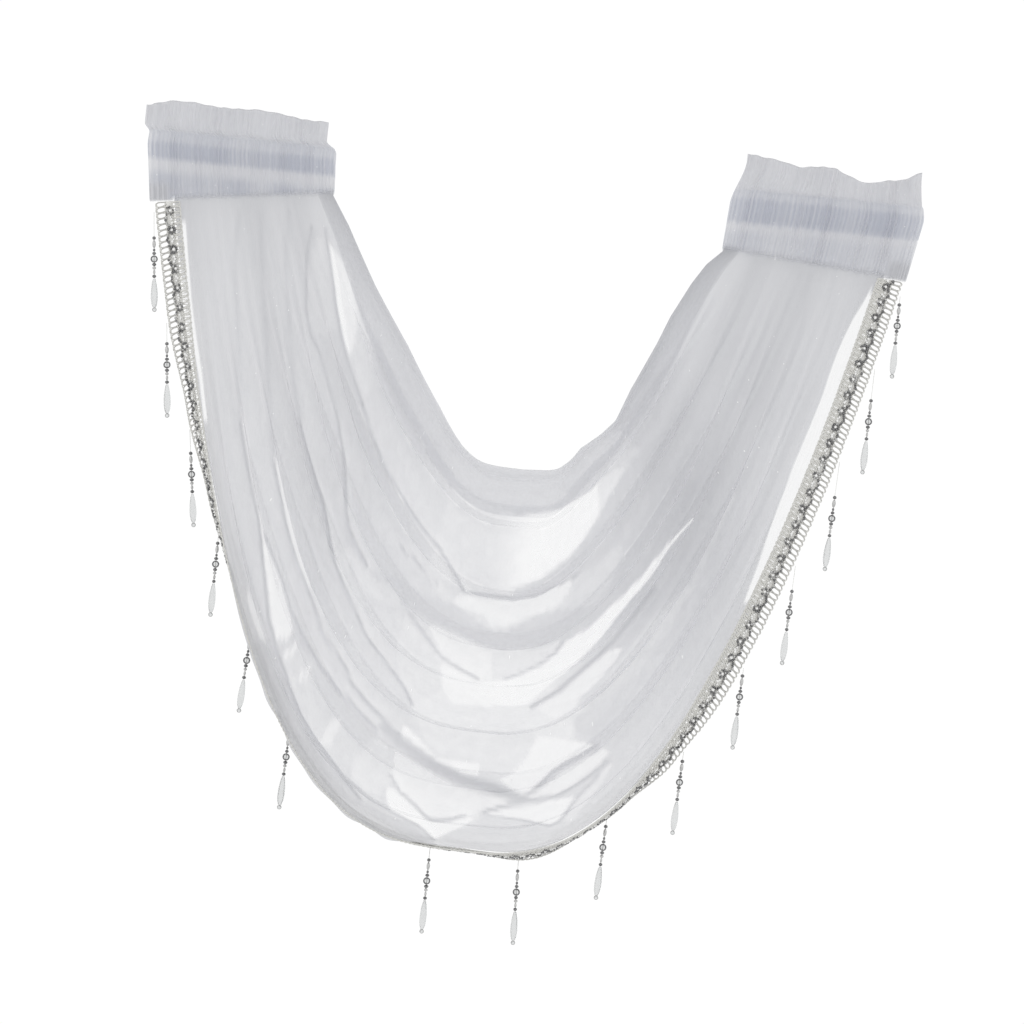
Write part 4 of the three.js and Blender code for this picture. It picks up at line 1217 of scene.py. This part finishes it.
class Nodes:
    """Short ways to add nodes to the tree of a material or of the world."""

    def __init__(self, tree):
        self.tree = tree

    def __getitem__(self, name):
        return self.tree.nodes[name]

    def feed(self, socket, value):
        """Links an output to a socket, or sets a plain number or colour on it."""
        if isinstance(value, bpy.types.NodeSocket):
            self.tree.links.new(value, socket)
        else:
            socket.default_value = value

    def add(self, kind, **inputs):
        node = self.tree.nodes.new("ShaderNode" + kind)
        for name, value in inputs.items():
            self.feed(node.inputs[name.replace("_", " ")], value)
        return node

    def attribute(self, name):
        node = self.add("Attribute")
        node.attribute_name = name
        return node.outputs["Fac"]

    def flat_place(self, scale):
        """The sheet's own flat coordinates in metres, stretched by a scale along and across it."""
        flat = self.add("UVMap")
        flat.uv_map = "flat"
        return self.add("Mapping", Vector=flat.outputs["UV"], Scale=scale).outputs["Vector"]

    def object_place(self):
        return self.add("TexCoord").outputs["Object"]

    def noise(self, place, scale, detail):
        return self.add("TexNoise", Vector=place, Scale=scale, Detail=detail).outputs["Fac"]

    def rescale(self, value, low, high, to_low, to_high):
        ends = {"From_Min": low, "From_Max": high, "To_Min": to_low, "To_Max": to_high}
        return self.add("MapRange", Value=value, **ends).outputs["Result"]

    def bump(self, height, strength, distance):
        return self.add("Bump", Height=height, Strength=strength, Distance=distance).outputs["Normal"]

    def maths(self, operation, *values):
        node = self.add("Math")
        node.operation = operation
        for socket, value in zip(node.inputs, values):
            self.feed(socket, value)
        return node.outputs[0]

    def blend(self, share, one, other):
        """A colour between two others, each a plain colour or an output."""
        node = self.add("Mix")
        node.data_type = "RGBA"
        self.feed(node.inputs["Factor"], share)
        ends = [socket for socket in node.inputs if socket.type == "RGBA"]
        for socket, colour in zip(ends, (one, other)):
            self.feed(socket, (*colour, 1) if isinstance(colour, tuple) else colour)
        return next(socket for socket in node.outputs if socket.type == "RGBA")

    def mix_shaders(self, share, one, other):
        node = self.add("MixShader")
        for socket, value in zip(node.inputs, (share, one.outputs[0], other.outputs[0])):
            self.feed(socket, value)
        return node


def new_material(name, finish):
    """A new material, its nodes, and its shader with a plain finish."""
    material = bpy.data.materials.new(name)
    material.use_nodes = True
    nodes = Nodes(material.node_tree)
    shader = nodes["Principled BSDF"]
    for socket, value in finish.items():
        shader.inputs[socket].default_value = value
    return material, nodes, shader


def voile_material():
    material, nodes, shader = new_material("voile", VOILE_FINISH)
    long_streak = nodes.noise(nodes.flat_place(LONG_STREAKS), 1.0, WEAVE_DETAIL)
    crush = nodes.noise(nodes.flat_place(CRUSH), 1.0, WEAVE_DETAIL)
    long_part = nodes.maths("MULTIPLY", long_streak, LONG_STREAK_PART)
    crush_part = nodes.maths("MULTIPLY", crush, CRUSH_PART)
    streak = nodes.maths("ADD", long_part, crush_part)
    spots = nodes.add("TexVoronoi", Vector=nodes.flat_place(GLINTS), Scale=1.0)
    glint = nodes.maths("LESS_THAN", spots.outputs["Distance"], GLINT_SIZE)
    colour = nodes.blend(streak, VOILE, VOILE_SHADE)
    # Painted shade of the crowded arms, seams and creases, and the grey of the braid's end in the outer
    # corners
    colour = nodes.blend(nodes.attribute("shade"), colour, VOILE_GREY)
    # Painted bluish shade of the headings' rod bands, stitched strips and puckers
    colour = nodes.blend(nodes.attribute("band"), colour, VOILE_BAND)
    # Painted glints on the cloth
    colour = nodes.blend(glint, colour, GLINT)
    normal = nodes.bump(streak, *VOILE_BUMP)
    nodes.feed(shader.inputs["Base Color"], colour)
    nodes.feed(shader.inputs["Normal"], normal)
    through = nodes.add("BsdfTranslucent", Color=colour, Normal=normal)
    cloth = nodes.mix_shaders(LIGHT_THROUGH, shader, through)
    layers = nodes.rescale(streak, *STREAK_LAYERS)
    clear = nodes.maths("SUBTRACT", 1.0, nodes.attribute("sheer"))
    alpha = nodes.maths("SUBTRACT", 1.0, nodes.maths("POWER", clear, layers))
    alpha = nodes.maths("MAXIMUM", alpha, nodes.maths("MULTIPLY", glint, GLINT_ALPHA))
    seen = nodes.mix_shaders(alpha, nodes.add("BsdfTransparent"), cloth)
    nodes.feed(nodes["Material Output"].inputs["Surface"], seen.outputs[0])
    return material


def yarn_material(name, shaded, lit):
    material, nodes, shader = new_material(name, YARN_FINISH)
    fibre = nodes.noise(nodes.object_place(), *YARN_GRAIN)
    nodes.feed(shader.inputs["Base Color"], nodes.blend(fibre, shaded, lit))
    nodes.feed(shader.inputs["Normal"], nodes.bump(fibre, *YARN_BUMP))
    return material


def mottled_material(name, one, other, grain, finish, rough=None):
    """A mottle of two colours, and of two roughnesses where they are given."""
    material, nodes, shader = new_material(name, finish)
    mottle = nodes.noise(nodes.object_place(), *grain)
    nodes.feed(shader.inputs["Base Color"], nodes.blend(mottle, one, other))
    if rough:
        nodes.feed(shader.inputs["Roughness"], nodes.rescale(mottle, *MOTTLE_RANGE, *rough))
    return material


def plain_material(name, colour, roughness):
    paler = tuple(min(1, c * PALER) for c in colour)
    return mottled_material(name, colour, paler, PLAIN_GRAIN, {"Roughness": roughness})


# Stage, light and camera, in metres

FLOOR_Z = -1.9
FLOOR_HALF = 3.0
FLOOR_COLOUR = (0.8, 0.8, 0.8)
FLOOR_ROUGHNESS = 0.9
CAMERA_DISTANCE = 3.2
FRAME_WIDTH = 1.024
VIEW_CENTRE = (0.0107, -0.3284)
CAMERA_ROLL = 5.8
SENSOR = 36.0
WHITE = (1.0, 1.0, 1.0, 1)
# The world's strength where it lights the cloth, and where it is seen
WORLD_STRENGTH = (0.96, 1.02)
# Place, size and power of each light
LIGHTS = {
    "key": ((-1.7, -2.4, 1.1), 1.6, 3.5),
    "fill": ((2.2, -1.6, 0.3), 2.0, 2),
}
LIGHT_AIM = (0, 0, VIEW_CENTRE[1])
SEE_THROUGH_BOUNCES = 32


def make_floor():
    half = FLOOR_HALF / MM
    shape = Shape()
    corners = [(-half, -half), (half, -half), (half, half), (-half, half)]
    shape.add([(x, y, FLOOR_Z / MM) for x, y in corners], [[0, 1, 2, 3]])
    floor = shape.piece("floor", [plain_material("pale_floor", FLOOR_COLOUR, FLOOR_ROUGHNESS)])


def make_world():
    """White where it is seen, and softer where it lights the cloth."""
    world = bpy.data.worlds.new("studio")
    world.use_nodes = True
    nodes = Nodes(world.node_tree)
    background = nodes["Background"]
    background.inputs["Color"].default_value = WHITE
    seen = nodes.add("LightPath").outputs["Is Camera Ray"]
    nodes.feed(background.inputs["Strength"], nodes.rescale(seen, 0, 1, *WORLD_STRENGTH))
    bpy.context.scene.world = world


def make_light(name, place, size, power):
    data = bpy.data.lights.new(name, "AREA")
    data.shape = "DISK"
    data.size = size
    data.energy = power
    light = bpy.data.objects.new(name, data)
    light.location = place
    light.rotation_euler = (Vector(LIGHT_AIM) - Vector(place)).to_track_quat("-Z", "Y").to_euler()
    bpy.context.scene.collection.objects.link(light)


def make_camera():
    data = bpy.data.cameras.new("camera")
    data.sensor_width = SENSOR
    data.lens = SENSOR * CAMERA_DISTANCE / FRAME_WIDTH
    camera = bpy.data.objects.new("camera", data)
    roll = math.radians(CAMERA_ROLL)
    right = Vector((math.cos(roll), 0, math.sin(roll)))
    up = Vector((-math.sin(roll), 0, math.cos(roll)))
    back = Vector((0, -1, 0))
    place = Vector((VIEW_CENTRE[0], -CAMERA_DISTANCE, VIEW_CENTRE[1]))
    camera.matrix_world = Matrix.Translation(place) @ Matrix((right, up, back)).transposed().to_4x4()
    bpy.context.scene.collection.objects.link(camera)
    bpy.context.scene.camera = camera


# Put the piece together

def declare(piece, slot, *nodes):
    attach(piece, BODY)
    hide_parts(*nodes)


make_camera()
make_world()
make_floor()
for name, settings in LIGHTS.items():
    make_light(name, *settings)
scene = bpy.context.scene
scene.view_settings.view_transform = "Standard"
scene.cycles.transparent_max_bounces = SEE_THROUGH_BOUNCES

voile = voile_material()
yarns = [yarn_material(name, *colours) for name, colours in YARNS.items()]
gunmetal = mottled_material(
    "gunmetal", (0.11, 0.11, 0.112), (0.3, 0.3, 0.305), METAL_GRAIN, METAL_FINISH, (0.2, 0.35))
# A lighter copy of the gunmetal: painted reflection for the beads that catch the light, and the drops' rings
lit_gunmetal = mottled_material(
    "lit_gunmetal", (0.42, 0.42, 0.42), (0.68, 0.68, 0.67), METAL_GRAIN, METAL_FINISH, (0.22, 0.37))
clear = mottled_material(
    "clear_glass", (0.7, 0.71, 0.71), (0.84, 0.85, 0.85), GLASS_GRAIN, GLASS_FINISH, (0.16, 0.34))
pearl = plain_material("pearl", (0.86, 0.86, 0.85), 0.25)
cotton = plain_material("thread", (0.8, 0.8, 0.78), 0.8)

panel = make_panel(voile)
declare(panel, "voile", "panel")
for side, heading in HEADINGS.items():
    piece = make_heading(f"voile_heading_{side}", heading, voile)
    declare(piece, "voile", f"heading_{side}")
braid = make_braid(yarns)
declare(braid, "braid_yarn", "braid")
bead_row = make_bead_row([gunmetal, lit_gunmetal, pearl])
declare(bead_row, "gunmetal_bead", "bead_row")
for number, (at, thread, lean) in enumerate(PENDANTS, 1):
    hung = hanging_frame(at, lean)
    string = make_string(f"pendant_{number:02d}_string", hung, thread, [gunmetal, lit_gunmetal, clear, cotton])
    drop = make_drop(f"pendant_{number:02d}_glass", hung, thread, [clear, lit_gunmetal])
    declare(string, "gunmetal_bead", f"pendant_{number:02d}_beads")
    declare(drop, "clear_drop", f"pendant_{number:02d}_drop")
